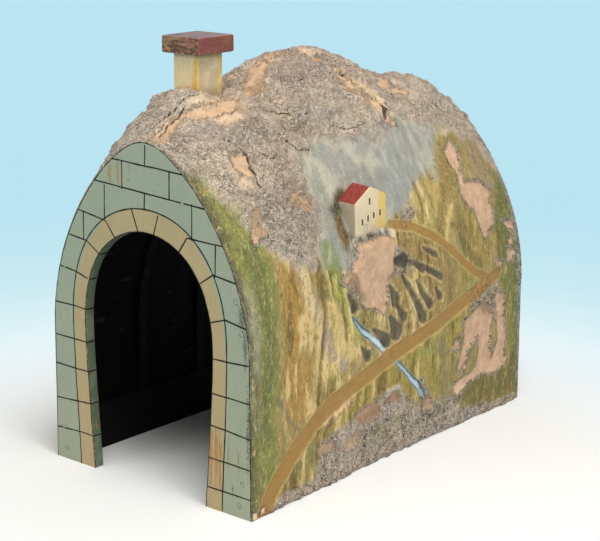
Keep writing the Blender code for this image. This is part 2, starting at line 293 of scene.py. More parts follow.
# Each station's profile runs from the opening's edge to the outer edge: reveal, arris, face, side and back,
# each point at the opening's edge + the way across x its distance from that edge.
def portalSurface(facing):
    inner, band, outer = (archLine(arch, portal["stations"]) for arch in (openingArch, bandArch, outerArch))
    width = np.linalg.norm(outer - inner, axis=1)
    along = (outer - inner) / width[:, None]
    bandAt = np.einsum("ij,ij->i", band - inner, along)
    r, deep, lip = portal["edgeRound"], portal["thickness"], portal["backLip"]
    turn = np.radians([0, 30, 60, 90])
    arris = np.column_stack([r - r * np.cos(turn), r - r * np.sin(turn)])
    face = np.linspace(0, 1, portal["faceColumns"])[1:-1]
    sides = [deep * 0.33, deep * 0.66, deep - lip]
    # each column of the profile as (share of the width, millimetres added to it, depth behind the face)
    columns = [(0, lip, deep), *((0, 0, d) for d in sides[::-1]), *((0, o, d) for o, d in arris),
               *((f, r - 2 * r * f, 0) for f in face), *((1, -o, d) for o, d in arris[::-1]),
               *((1, 0, d) for d in sides), (1, -lip, deep), (0.7, 0, deep), (0.35, 0, deep)]
    share, added, depths = np.array(columns, dtype=float).T
    offset = width[:, None] * share + added
    depth = np.broadcast_to(depths, offset.shape)
    plane = inner[:, None, :] + along[:, None, :] * offset[..., None]
    plane, offset, depth, bandAt, width = (np.concatenate([rows[:1], rows, rows[-1:]])
                                           for rows in (plane, offset, depth, bandAt, width))
    for end, above in ((0, 1), (-1, -2)):
        plane[end] += (plane[end].mean(axis=0) - plane[end]) * portal["footInset"]
        plane[end][:, 1] = 0.0
        plane[above][:, 1] += portal["footLift"]
    points = np.stack([facing * plane[..., 0], depth, plane[..., 1]], axis=-1)
    rough = lattice(points, 7.0, 11) * 0.5 + lattice(points, 2.2, 12) * 0.5
    toEdge = np.minimum(offset, width[:, None] - offset)
    nick = np.clip(rough - portal["nickFrom"], 0, 1) * portal["nickDepth"]
    nick = nick * np.exp(-toEdge / portal["nickReach"])
    points[..., 1] += np.where(depth < 0.6, portal["faceWave"] * rough + nick, 0)
    points[..., 1] = facing * (points[..., 1] + frontY)
    fields = {"bandGap": offset - bandAt[:, None], "reveal": np.clip(1 - offset / 0.3, 0, 1) * (depth > 0.1),
              "behind": (depth > 0.6) * 1.0 * (offset > 0.2), "edgeGap": toEdge + depth}
    return points, fields


# Green blocks, a beige ring inside the border, darker reveal; thin paint along the grain, rubbed edges.
def portalPaint():
    finish = Finish("portal_oil_paint", roughness=0.42, specular=0.45)
    noise, step, read = finish.noise, finish.step, finish.attribute
    wobble = noise(4.0, 2) - 0.5
    band = step(read("bandGap") + wobble * 0.5, -0.12, 0.12)
    cloudy = noise(22.0, 3, stretch=(1, 1, 1.6))
    grain = noise(1.1, 3, stretch=(1, 1, 14), roughness=0.6)
    specks = step(noise(0.7, 1, shift=3.0), 0.68, 0.76)
    green = finish.layer(cloudy, (140, 152, 128), (155, 161, 139))
    beige = finish.layer(cloudy, (163, 144, 101), (180, 160, 119))
    finish.color = finish.layer(band, beige, green)
    finish.lay(step(grain, 0.5, 0.75) * 0.22, (120, 124, 104))
    finish.lay(specks * 0.35, (96, 100, 84))
    reveal = finish.layer(step(noise(9.0, 3), 0.45, 0.62), (84, 100, 78), (104, 118, 95))
    finish.lay(read("reveal"), reveal)
    streaks = step(noise(0.9, 2, stretch=(0.9, 1, 26), shift=1.0), 0.6, 0.66)
    torn = noise(0.55, 3, stretch=(0.6, 1, 16), roughness=0.6) - 0.5
    flaked = step(read("scratch") + torn * 2.6, 0.52, 0.62)
    finish.lay(flaked * 0.85, finish.layer(streaks, (178, 130, 70), (118, 84, 46)))
    scuffed = step(read("scuff") + (noise(0.7, 4, stretch=(1, 1, 2.4), roughness=0.7) - 0.5) * 3, 0.7, 0.82)
    finish.lay(scuffed * 0.8, (70, 72, 60))
    rub = step(noise(3.0, 3) - read("edgeGap") * 0.5, 0.22, 0.3)
    finish.lay(rub * 0.85, (74, 70, 58))
    chipped = step(noise(2.1, 3, shift=5.0) - read("edgeGap") * 0.6, 0.4, 0.44)
    finish.lay(chipped, (170, 140, 100))
    inside = finish.layer(noise(5.0, 3), (20, 19, 17), (44, 38, 30))
    finish.lay(read("behind"), inside)
    finish.relief(grain * 0.07 - flaked * 0.18 + cloudy * 0.2 - specks * 0.05)
    return finish.done(0.36 + grain * 0.22 + flaked * 0.3)


# Worn places on a portal's face as (x, z, half width, half height); scratches show wood, scuffs show dirt.
wornPlaces = {
    "scratch": ((-19.7, 173, 1.1, 9), (-25.9, 172.5, 0.9, 6), (-10.9, 177, 0.6, 4), (46.8, 30, 1.3, 15),
                (50.5, 33, 1.2, 14), (53.2, 24, 0.8, 18), (59, 34, 0.4, 9), (66, 30, 0.4, 8),
                (-44, 30, 0.7, 8)),
    "scuff": ((68.5, 108, 3.2, 10), (70.5, 92, 1.8, 14), (-35, 20, 1, 6), (72.5, 50, 1.2, 30),
              (62, 15, 1, 3)),
}


# Each worn place is a bell over an ellipse: exp of -0.7 times the squared distance in half sizes.
def wornField(points, places):
    total = np.zeros(points.shape[:-1])
    for x, z, halfWidth, halfHeight in places:
        away = ((points[..., 0] - x) / halfWidth) ** 2 + ((points[..., 2] - z) / halfHeight) ** 2
        total = np.maximum(total, np.exp(-0.7 * away))
    return total


def makePortals():
    paint = portalPaint()
    for end, facing in (("front", 1), ("rear", -1)):
        points, fields = portalSurface(facing)
        for key, places in wornPlaces.items():
            fields[key] = wornField(points, places)
        makePiece(f"{end}_portal_board", points, paint, (f"{end}_portal",), fields, sharp=50)


masonry = {
    "lineWidth": 0.82, "edgeShare": 0.55, "lineRise": 0.06, "lineSink": 0.05,
    "swell": 0.22, "edgeSwell": 0.5, "handSway": 0.12, "outerInset": 0.25,
    # courses that run from the opening's edge over the border to the outer edge: (inner, border, outer z)
    "joints": (
        ((43.7, 11.6), (55.1, 11.6), 11.8), ((44.9, 28.2), (55.9, 28.2), 27.8),
        ((45.7, 46.5), (56.7, 46.0), 44.4),
        ((46.9, 64.1), (57.4, 63.9), 63.4), ((47.8, 82.9), (57.5, 83.0), 83.7),
        ((47.2, 102.1), (56.9, 105.2), 102.7),
        ((39.7, 121.5), (48.8, 127.4), 125.3), ((24.9, 136.0), (30.7, 144.2), 143.1),
        ((-42.8, 18.9), (-54.5, 19.2), 18.1), ((-44.6, 37.9), (-55.5, 37.3), 36.3),
        ((-45.6, 56.7), (-56.4, 56.5), 57.0), ((-46.6, 73.7), (-56.6, 73.9), 74.2),
        ((-47.1, 92.8), (-56.6, 93.5), 93.5), ((-45.2, 110.8), (-54.9, 113.6), 115.0),
        ((-35.4, 126.2), (-46.0, 132.5), 134.3), ((-22.9, 136.8), (-30.4, 145.7), 149.2),
        ((6.5, 142.5), (10.0, 153.3), None), ((-5.1, 142.5), (-10.1, 154.9), None),
    ),
    "fullCourses": ((167.0, 160.8), (180.1, 176.8)),
    # upright joints: (x, upper z, lower z)
    "uprights": ((1.1, 189.5, 178.6), (-16.4, 179.4, 164.2), (18.6, 177.3, 162.6), (-30.4, 165.3, 146.2),
                 (0.15, 163.6, 155.6), (34.35, 162.3, 143.2), (-47.5, 148.6, 133.2), (50.5, 143.6, 126.2)),
}


# A low rounded ribbon: six points across, carried along a path and raised along a normal.
def ribbon(path, normal, width, rise):
    ahead = np.gradient(path, axis=0)
    ahead /= np.linalg.norm(ahead, axis=1)[:, None]
    across = np.cross(ahead, normal)
    width = np.broadcast_to(width, len(path))[:, None]
    sink = masonry["lineSink"]
    rows = [path + across * width * side + normal * up for side, up in
            ((-0.5, -sink), (-0.5, rise * 0.4), (-0.25, rise), (0.25, rise), (0.5, rise * 0.4), (0.5, -sink))]
    return np.stack(rows, axis=1)


# A line swayed by noise in X and Z, as a hand draws it.
def handDrawn(path, seed):
    return path + lattice(path, 9.0, seed)[:, None] * np.array([1, 0, 1]) * masonry["handSway"]


def joinRibbons(strips):
    points, faces = [], []
    for strip in strips:
        faces += sweptFaces(strip.shape[0], strip.shape[1], start=sum(len(p) for p in points))
        points.append(strip.reshape(-1, 3))
    return np.vstack(points), faces


# How far from the middle an arch stands at a height.
def sideAt(arch, z):
    line = archLine(arch, 600)[:300]
    return np.interp(z, line[:, 1], line[:, 0])


def outerAt(z, side):
    return side * (sideAt(outerArch, z) - masonry["outerInset"])


# Every line of a face as points in x and z; the last two are the outer edge and the opening's edge.
def faceLines():
    lines = []
    for inner, border, outerZ in masonry["joints"]:
        lines.append([inner, border])
        if outerZ is not None:
            lines.append([border, (outerAt(outerZ, np.sign(border[0])), outerZ)])
    for left, right in masonry["fullCourses"]:
        lines.append([(outerAt(left, -1), left), (outerAt(right, 1), right)])
    lines += [[(x, high), (x - 0.3, low)] for x, high, low in masonry["uprights"]]
    edges = [archLine({**outerArch, "foot": 74.65, "spring": (73.5, 81.8), "top": 190.75}, 300),
             archLine({**openingArch, "foot": 43.25, "spring": (48.3, 85.4), "top": 143.05}, 260)]
    return [spaced(np.array(line, dtype=float), 24) for line in lines] + [archLine(bandArch, 260)] + edges


def makeMasonry():
    paint = twoTone("masonry_line_paint", 2.0, (12, 12, 10), (36, 34, 27), 1.0, 0.05, 0.7, 0.2)
    lines = faceLines()
    inside = np.linspace(0.5, portal["thickness"] - 0.5, 8)
    for end, facing in (("front", 1), ("rear", -1)):
        strips = []
        for number, line in enumerate(lines):
            path = np.column_stack([facing * line[:, 0], np.full(len(line), facing * frontY), line[:, 1]])
            path = handDrawn(path, 40 + number)
            swell = 1 + masonry["swell"] * lattice(path, 5.0, 90 + number)
            if number >= len(lines) - 2:
                swell = swell + masonry["edgeSwell"] * lattice(path, 3.0, 130 + number)
                swell = swell * masonry["edgeShare"]
            strips.append(ribbon(path, np.array([0.0, -facing, 0.0]), masonry["lineWidth"] * swell,
                                 masonry["lineRise"]))
        for (x, z), border, outerZ in masonry["joints"]:
            if outerZ is None or abs(x) < 30:
                continue
            side = np.sign(x)
            x = sideAt(openingArch, z) * side
            path = np.column_stack([np.full(8, facing * x), facing * (frontY + inside),
                                    np.full(8, z + 0.2 * side)])
            strips.append(ribbon(path, np.array([-facing * side, 0.0, 0.0]), masonry["lineWidth"] * 1.1,
                                 masonry["lineRise"]))
        points, faces = joinRibbons(strips)
        makePiece(f"{end}_masonry_lines", points, paint, faces=faces, sharp=60)


nail = {
    "head": 1.25, "length": 18.0, "proud": 0.16, "sides": 16,
    "shaftShare": 0.6, "headDepth": 0.6, "point": 2.0,
    "rimGap": 0.12, "rimTurn": 0.93, "rimWidth": 0.3, "rimRise": 0.05,
}


# A turned nail: a domed head, its shaft and a point, as rings of radius and depth round the axis.
def nailShape(center, facing):
    shaft, under, proud, sides = nail["shaftShare"], nail["headDepth"], nail["proud"], nail["sides"]
    radius = np.maximum(np.array([0.55, 1.0, 1.0, shaft, shaft]) * nail["head"], 0.05)
    depth = np.array([-proud * 0.85, 0.0, under, under, nail["length"] - nail["point"]])
    around = np.arange(sides) / sides * 2 * np.pi
    rings = np.stack([radius[:, None] * np.cos(around), np.broadcast_to(depth[:, None], (5, sides)),
                      radius[:, None] * np.sin(around)], axis=-1)
    points = np.vstack([rings.reshape(-1, 3), [[0, -proud, 0], [0, nail["length"], 0]]])
    faces = gridFaces(len(radius), sides)
    tip, last = len(points) - 2, (len(radius) - 1) * sides
    for k in range(sides):
        faces.append([tip, (k + 1) % sides, k])
        faces.append([tip + 1, last + k, last + (k + 1) % sides])
    return points * np.array([1, facing, 1]) + center, faces


def makeNails():
    finish = Finish("painted_nail_head", roughness=0.45)
    rust = finish.step(finish.noise(0.8, 3), 0.5, 0.62)
    finish.color = finish.layer(rust * 0.5, (148, 158, 134), (96, 92, 74))
    finish.relief(finish.noise(0.6, 2) * 0.1)
    paint = finish.done(0.4 + rust * 0.3)
    dirt = twoTone("nail_rim_dirt", 1.0, (70, 74, 62), (108, 112, 96), 0.5, 0.05, 0.7)
    around = np.linspace(0, 2 * np.pi * nail["rimTurn"], 30)
    circle = np.column_stack([np.cos(around), np.zeros(30), np.sin(around)]) * (nail["head"] + nail["rimGap"])
    rims = {"front": [], "rear": []}
    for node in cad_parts:
        if "nail" not in node:
            continue
        low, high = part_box(node)
        end = node.split("_")[0]
        facing = 1 if end == "front" else -1
        center = np.array([(low.x + high.x) / 2 / mm, facing * frontY, (low.z + high.z) / 2 / mm])
        points, faces = nailShape(center, facing)
        makePiece(node + "_turned", points, paint, (node,), faces=faces, sharp=50)
        if not any(word in node for word in ("shoulder", "ridge", "left_side")):
            width = nail["rimWidth"] + 0.1 * np.cos(around * 2 + center[2])
            rims[end].append(ribbon(center + circle, np.array([0.0, -facing, 0.0]), width, nail["rimRise"]))
    for end, rings in rims.items():
        points, faces = joinRibbons(rings)
        makePiece(f"{end}_nail_rims", points, dirt, faces=faces, sharp=60)


print("helpers ready")
makePortals()
makeMasonry()
makeNails()
print("portals, masonry lines and nails made")


mountain = {
    "ridge": ((-135, 192.2), (-130, 197.6), (-126, 201.2), (-121, 205), (-115, 209), (-111, 212.3),
              (-104, 213.4),
              (-90, 213.2), (-76, 213.8), (-66, 216), (-58, 218.4), (-50, 223), (-43, 226), (-24, 230.4),
              (-6, 232.4),
              (4, 233), (13, 230.3), (23, 227.2), (33, 223), (43, 218.5), (53, 215.8), (64, 213.6),
              (75, 212.8),
              (97, 211.6), (108, 208.4), (120, 203), (132, 198.4), (135, 197)),
    "foot": 75.4, "spring": (74.4, 81.8), "below": 20.7, "above": 55.7, "flat": 24.8, "archTop": 191.3,
    "halfLength": 134.6, "rows": 236, "innerRows": 20, "rightColumns": 204, "leftColumns": 154,
    "thickness": 1.5, "paperDepth": 4.4, "footSag": 2.2, "footGap": 0.3, "flushFoot": 75.06,
    "inside": (120, 96, 66),
    # how deep the layers of torn paper are, and the grit of the granular places
    "tornStep": 2.1, "grit": 0.9,
    # how deep paint is gone, the road lies, and the stream, furrows and cracks are pressed in
    "bareDepth": 0.95, "roadDepth": 0.4, "streamDepth": 0.9, "furrowDepth": 1.1, "crackDepth": 1.2,
    "shelf": 6.2, "fold": 1.3,
    # girth distances below which a bare place, a tone, a line or a wash is on the left side too
    "bareBelow": 195, "toneBelow": 225, "linesBelow": 180, "washesBelow": 215,
}

# Where rock gives way to painted slopes: girth distance from the foot against Y.
rockEdge = ((-135, 196), (-128, 185), (-118, 160), (-112, 146), (-100, 135), (-92, 130), (-76, 128),
    (-69, 140), (-67, 155), (-68, 168), (-66, 186), (-51, 194), (-29, 192), (-4, 190), (12, 191), (24, 197),
    (31, 205), (45, 200), (60, 195), (80, 190), (100, 185), (115, 180), (125, 165), (135, 150))

houseShadow = ((-44, 160), (-50, 151), (-51, 143), (-49, 134), (-43, 129))

# Washes of paint from the ground up, as (colour, softness, amount, half width or 0 for an area, places).
# A place is (Y, girth distance from the foot); an area is filled and a line is stroked at its half width.
washes = (
    ((118, 124, 64), 6, 0.95, 0, ((-140, -5), (-115, -5), (-112, 60), (-110, 120), (-114, 165), (-120, 198),
        (-140, 205))),
    ((150, 152, 128), 4, 0.7, 0, ((-140, 40), (-128, 45), (-126, 90), (-127, 120), (-131, 135),
        (-140, 135))),
    ((88, 100, 56), 4, 0.6, 4, ((-124, 40), (-120, 90), (-122, 140))),
    ((96, 92, 60), 3, 0.6, 3, ((-130, 8), (-131, 40), (-130, 76))),
    ((166, 128, 62), 6, 0.85, 0, ((-106, 40), (-84, 46), (-80, 90), (-86, 128), (-106, 130), (-109, 80))),
    ((214, 186, 124), 5, 0.85, 0, ((-84, 58), (-60, 66), (-40, 68), (-42, 88), (-60, 104), (-80, 106))),
    ((214, 190, 132), 1.5, 0.6, 1.3, ((-80, 62), (-72, 72), (-64, 76), (-56, 86), (-52, 96))),
    ((214, 190, 132), 1.5, 0.6, 1.0, ((-66, 62), (-58, 68), (-52, 78), (-46, 84))),
    ((160, 145, 135), 3, 0.8, 3.5, ((-90, 128), (-88, 112), (-79, 97), (-70, 78), (-58, 66))),
    ((158, 128, 44), 3, 0.8, 5.0, ((-84, 126), (-78, 121))),
    ((156, 160, 72), 3, 0.8, 5.0, ((-66, 120), (-58, 104), (-52, 92), (-46, 80))),
    ((150, 149, 140), 7, 1.0, 0, ((-72, 122), (-50, 122), (-40, 134), (-6, 138), (2, 142), (20, 150),
        (60, 172), (80, 195), (70, 225), (-30, 225), (-66, 206), (-88, 196), (-72, 172), (-64, 155))),
    ((152, 154, 150), 7, 0.75, 0, ((-2, 138), (14, 142), (30, 165), (26, 196), (4, 196), (-6, 170))),
    ((138, 140, 130), 6, 0.6, 0, ((-66, 135), (-50, 130), (-46, 160), (-52, 190), (-66, 185))),
    ((196, 190, 168), 5, 0.55, 4, ((-58, 186), (-50, 172), (-47, 158))),
    ((198, 192, 168), 4, 0.5, 3.5, ((-30, 190), (-22, 178), (-8, 172))),
    ((50, 48, 44), 4, 1.0, 3.2, houseShadow),
    ((186, 188, 176), 3, 0.6, 1.2, ((44, 198), (40, 180), (42, 160), (48, 148))),
    ((176, 178, 168), 4, 0.5, 5, ((58, 190), (52, 172), (55, 160))),
    ((110, 128, 62), 4, 0.75, 5, ((-62, 132), (-60, 122), (-58, 114))),
    ((146, 148, 144), 4, 0.7, 5, ((-52, 130), (-48, 120), (-46, 112))),
    ((186, 162, 96), 5, 0.9, 0, ((19, 152), (41, 160), (60, 152), (58, 132), (22, 130), (4, 134),
        (-6, 130))),
    ((140, 116, 62), 4, 0.8, 5, ((72, 172), (58, 150), (44, 126))),
    ((216, 190, 128), 2, 0.7, 1.6, ((64, 142), (54, 132), (49, 120))),
    ((128, 108, 58), 3, 0.8, 4, ((66, 142), (68, 122), (74, 108))),
    ((184, 156, 84), 4, 0.75, 3, ((76, 150), (78, 128), (84, 112))),
    ((140, 121, 56), 5, 0.7, 0, ((60, 92), (88, 94), (100, 110), (96, 150), (70, 120))),
    ((196, 172, 92), 1.5, 0.7, 1.0, ((66, 100), (76, 110), (84, 126))),
    ((150, 130, 100), 5, 0.9, 0, ((96, 148), (124, 140), (140, 140), (140, 220), (100, 220), (92, 180))),
    ((140, 120, 80), 4, 0.7, 3, ((104, 190), (112, 170), (122, 150))),
    ((94, 98, 44), 5, 0.9, 0, ((100, 88), (122, 80), (140, 80), (140, 150), (124, 152), (108, 122))),
    ((152, 128, 76), 4, 0.95, 0, ((-42, 72), (-14, 66), (7, 68), (30, 74), (54, 80), (66, 88), (50, 104),
        (34, 124), (10, 130), (-6, 126), (-14, 104), (-28, 90))),
    ((136, 132, 74), 3, 0.8, 4, ((62, 84), (74, 86), (86, 92))),
    ((152, 138, 60), 4, 0.9, 0, ((-60, 44), (-13, 55), (28, 64), (70, 76), (60, 60), (50, 40), (46, 22),
        (10, 22), (-6, 40), (-40, 36), (-60, 30))),
    ((138, 138, 72), 3, 0.8, 5, ((22, 58), (34, 60), (44, 52))),
    ((125, 112, 84), 3, 0.75, 4, ((40, 60), (44, 42), (46, 24))),
    ((196, 180, 164), 4, 1.0, 0, ((-84, 4), (-76, 20), (-65, 27), (-51, 30), (-35, 32), (-18, 39), (-1, 39),
        (8, 30), (24, 19), (46, 20), (69, 17), (50, 6), (30, 2), (-23, -4), (-69, -4))),
    ((150, 128, 60), 3, 0.85, 0, ((-35, 17), (-27, 22), (-7, 18), (1, 12), (-12, 6))),
    ((98, 94, 42), 4, 0.95, 0, ((28, 18), (50, 22), (66, 20), (88, 26), (120, 26), (140, 50), (140, -6),
        (-30, -6), (-8, 4))),
    ((104, 112, 44), 3, 0.8, 5, ((112, 88), (126, 70), (124, 40))),
    ((196, 182, 164), 2.5, 0.95, 4.0, ((-122, 1), (10, 4), (70, 4), (100, 2), (128, 1))),
    ((216, 180, 156), 2.5, 0.9, 2.4, ((-74, 38), (-60, 43), (-50, 47))),
    ((110, 98, 76), 2, 0.75, 2.2, ((-112, 60), (-104, 46), (-96, 38))),
    ((186, 150, 134), 5, 0.55, 8, ((-14, 232), (-4, 224), (2, 212))),
    ((240, 230, 216), 2, 0.95, 3.4, ((-40, 133), (-22, 135), (-7, 134))),
    ((196, 160, 138), 3, 0.8, 0, ((118, 206), (126, 170), (131, 154), (132, 130), (131, 108), (137, 100),
        (137, 214))),
    ((60, 84, 48), 3, 0.8, 3.5, ((131, 104), (131, 70), (133, 40), (133, 12))),
    ((226, 212, 200), 2.5, 0.95, 0, ((-56, 27), (-41, 28), (-36, 22), (-50, 13), (-60, 14))),
    ((230, 216, 204), 2.5, 0.95, 0, ((-16, 40), (-3, 42), (1, 32), (-11, 27))),
    ((152, 142, 58), 3, 0.9, 0, ((-38, 24), (1, 26), (5, 17), (-22, 13), (-38, 16))),
    ((112, 90, 56), 2, 0.8, 1.4, ((26, 158), (30, 146), (28, 136))),
    ((120, 98, 60), 2, 0.8, 1.2, ((36, 160), (42, 146), (40, 132))),
    ((226, 200, 144), 1.5, 0.8, 1.2, ((31, 158), (36, 146), (34, 134))),
    ((226, 200, 144), 1.5, 0.8, 1.2, ((20, 152), (23, 144), (20, 138))),
    ((96, 84, 48), 3, 0.7, 2.5, ((60, 128), (70, 112), (84, 100))),
    ((212, 190, 172), 2.5, 0.85, 2.0, ((-70, 12), (-40, 8), (0, 9), (40, 10), (64, 12))),
)

# Where the blue-grey wash lies, painted softly without brush marks.
washOutline = ((-72, 122), (-50, 120), (-44, 134), (-6, 138), (2, 142), (20, 150), (60, 172), (80, 195),
    (70, 225), (-30, 225), (-66, 206), (-88, 196), (-84, 182), (-72, 172), (-62, 158), (-66, 145))

# Bare places where the paint and the top layer are gone, on the right side.
peeledPlaces = (
    ((-112, 193), (-102, 192), (-101, 184), (-105, 176), (-109, 181), (-113, 187)),
    ((-81, 168), (-74, 167), (-73, 163), (-67, 161), (-68, 156), (-75, 154), (-83, 161)),
    ((-113, 163), (-109, 163), (-111, 152), (-111, 148), (-116, 145), (-118, 143), (-118, 148),
        (-115, 156)),
    ((82, 179), (87, 174), (82, 162), (81, 152), (99, 150), (110, 144), (103, 138), (106, 130), (106, 124),
        (100, 119), (92, 115), (88, 126), (84, 134), (73, 145), (76, 156), (73, 166), (73, 173)),
    ((117, 124), (132, 120), (127, 115), (120, 119)),
    ((120, 112), (126, 110), (124, 105), (120, 106)),
    ((117, 105), (127, 102), (125, 96), (118, 97)),
    ((103, 99), (110, 97), (108, 94), (103, 96)),
    ((65, 67), (78, 71), (89, 77), (96, 69), (101, 62), (97, 54), (96, 44), (101, 38), (105, 47), (106, 61),
        (102, 76), (114, 77), (117, 50), (118, 30), (106, 25), (89, 27), (73, 25), (62, 20), (54, 25),
        (55, 27), (75, 33), (59, 37), (60, 43), (65, 55)),
    ((53, 51), (56, 58), (59, 55), (56, 51)),
    ((-46, 33), (-40, 35), (-30, 37), (-27, 40), (-23, 35), (-20, 33), (-22, 29), (-30, 27), (-40, 27)),
    ((-18, 35), (-11, 39), (-2, 39), (0, 33), (-8, 32)),
    ((-78, 24), (-73, 25), (-66, 24), (-65, 20), (-74, 20)),
    ((-58, 17), (-53, 22), (-41, 25), (-39, 20), (-49, 15)),
    ((23, 29), (29, 27), (33, 18), (25, 20)),
    ((-43, 131), (-35, 132), (-17, 133), (-11, 131), (-7, 127), (-12, 118), (-9, 111), (-16, 107),
        (-15, 97), (-20, 89), (-27, 93), (-39, 97), (-44, 104), (-55, 114), (-46, 120)),
    ((-7, 232), (-2, 230), (4, 218), (19, 207), (20, 198), (31, 193), (12, 197), (5, 210), (-4, 218),
        (-8, 224)),
    ((48, 232), (63, 230), (50, 220), (38, 222)),
    ((54, 223), (73, 220), (69, 216), (48, 216)),
    ((-71, 233), (-56, 246), (-46, 251), (-42, 249), (-53, 238), (-56, 231), (-68, 228)),
    ((-48, 253), (-31, 257), (-15, 255), (-30, 252)),
    ((-14, 250), (-1, 246), (-8, 242), (-18, 244)),
    ((-119, 222), (-104, 223), (-90, 227), (-76, 230), (-83, 222), (-92, 219), (-102, 218), (-115, 217)),
    ((-134, 224), (-132, 220), (-124, 222), (-118, 223), (-125, 217), (-132, 212), (-134, 213)),
    ((-45, 2), (-32, 4), (-34, 0), (-44, -1)),
    ((-134, 4), (-124, 5), (-125, 0), (-134, 0)),
    ((113, 3), (129, 2), (128, 0), (114, 0)),
)

# Lines painted or pressed into the slopes on the right side, as (half width, places).
slopeLines = {
    "road": ((5.9, ((-124, 3), (-119, 11), (-110, 20), (-100, 29), (-82, 40), (-62, 48))), (5.4, ((-66, 47),
        (-50, 52), (-32, 57), (-13, 61), (7, 65))), (4.8, ((3, 64), (28, 70), (50, 76), (72, 82), (92, 87),
        (104, 91))), (3.0, ((96, 88), (78, 96), (62, 107), (47, 118), (33, 126), (15, 134), (-6, 138)))),
    "water": ((2.8, ((-47, 92), (-40, 84), (-30, 76), (-17, 66))), (2.4, ((-10, 61), (-5, 57), (5, 48),
        (16, 38), (22, 30)))),
    "furrow": ((3.4, ((1, 107), (10, 93), (21, 78))), (2.9, ((13, 102), (19, 93), (27, 85))),
        (2.6, ((31, 95), (37, 88))), (4.4, ((-13, 103), (-7, 94))), (3.2, ((-5, 90), (2, 82))),
        (5.2, ((-13, 85), (-5, 75))), (3.8, ((-29, 81), (-15, 71))), (3.2, ((-40, 73), (-35, 67))),
        (4.4, ((-8, 117), (2, 116))), (2.4, ((6, 115), (20, 108))), (2.0, ((22, 120), (34, 114))),
        (2.2, ((11, 114), (26, 106), (38, 100))), (2.6, ((-52, 106), (-45, 96)))),
    # cracks are painted dark as painted shade in them; the thin one beside the summit fold is the fold's
    # painted shadow
    "crack": ((0.5, ((-111, 202), (-107, 196), (-101, 191), (-101, 184), (-102, 177), (-101, 172))),
        (0.5, ((-95, 239), (-96, 234), (-90, 234), (-76, 243))), (0.4, ((-132, 218), (-126, 221),
        (-116, 225))), (0.9, ((20, 206), (19, 199))), (0.3, ((-5, 234), (6, 218), (16, 209), (24, 202))),
        (0.4, ((-90, 190), (-84, 186), (-80, 188))), (0.4, ((-60, 214), (-52, 208), (-44, 209))),
        (0.4, ((-30, 200), (-20, 196), (-8, 197))), (0.4, ((-134, 226), (-125, 227), (-113, 230),
        (-104, 230))), (0.35, ((1, 232), (15, 221), (19, 212))), (0.5, ((-66, 196), (-62, 190),
        (-54, 188))), (0.4, ((-46, 236), (-38, 230), (-30, 231)))),
}

# Places inside the bare areas where the paint has stayed on.
keptPlaces = (
    ((69, 48), (83, 56), (83, 36), (74, 30), (66, 31)),
    ((98, 44), (101, 57), (107, 65), (107, 46), (101, 33)),
)

# Tones laid over the rock, as (colour, softness, amount, how much grain is lost, outline).
rockTones = (
    ((244, 228, 206), 3, 0.75, 0.2, ((-119, 238), (-110, 240), (-103, 233), (-101, 227), (-111, 221),
        (-121, 226))),
    ((230, 200, 166), 5, 0.9, 0.85, ((-106, 229), (-93, 230), (-74, 230), (-76, 222), (-87, 212),
        (-100, 209), (-109, 215), (-119, 218), (-134, 219), (-134, 225), (-117, 224))),
    ((226, 196, 164), 5, 0.85, 0.8, ((-64, 238), (-58, 246), (-46, 254), (-34, 257), (-24, 258), (-33, 250),
        (-46, 244), (-56, 236))),
    ((240, 212, 182), 3, 0.8, 0.6, ((-24, 257), (2, 257), (0, 250), (-23, 248))),
    ((230, 200, 162), 3, 0.9, 0.85, ((-8, 236), (2, 233), (16, 222), (25, 213), (24, 202), (34, 196),
        (26, 193), (12, 198), (9, 212), (-3, 222))),
    ((224, 194, 160), 4, 0.8, 0.7, ((53, 232), (76, 230), (84, 214), (74, 210), (50, 214), (42, 223))),
    ((228, 200, 166), 4, 0.85, 0.8, ((-112, 195), (-101, 193), (-104, 175), (-112, 172), (-115, 187))),
    ((176, 166, 160), 7, 0.6, 0.4, ((-118, 216), (-101, 209), (-96, 200), (-106, 192), (-120, 202))),
    ((204, 190, 178), 8, 0.6, 0.25, ((-50, 224), (-27, 228), (-7, 220), (-14, 200), (-41, 200),
        (-53, 208))),
    ((198, 182, 168), 8, 0.5, 0.2, ((-36, 252), (-6, 248), (-4, 235), (-18, 228), (-46, 236))),
    ((180, 162, 146), 7, 0.55, 0.2, ((-96, 196), (-82, 200), (-66, 196), (-70, 182), (-88, 178))),
    ((216, 194, 172), 6, 0.6, 0.0, ((-92, 176), (-84, 176), (-72, 152), (-74, 136), (-88, 138),
        (-98, 156))),
    ((176, 168, 164), 8, 0.5, 0.4, ((34, 236), (60, 214), (90, 208), (120, 206), (118, 222), (70, 238))),
)
# A low bare place under the rock edge, paled a little.
lowRockPlace = ((-104, 174), (-76, 172), (-65, 157), (-70, 129), (-92, 128), (-114, 146), (-112, 160))

# Long swells and round bulges of the paper, as (places or one place, reach, rise), and a fold at the summit.
swells = ((((-67, 140), (-65, 126), (-60, 112), (-50, 96), (-38, 80)), 7, -2.4),
          (((-84, 118), (-72, 100), (-58, 80)), 9, 2.2))
bulges = (((-111, 230), 7.5, 4.2), ((30, 105), 26, 1.8), ((-58, 104), 6, 1.6), ((70, 50), 24, 1.4),
          ((80, 160), 20, 1.6), ((-90, 150), 18, 1.6))
seamFold = ((-4, 235), (-1, 228), (5, 217), (14, 210), (21, 204), (28, 196))

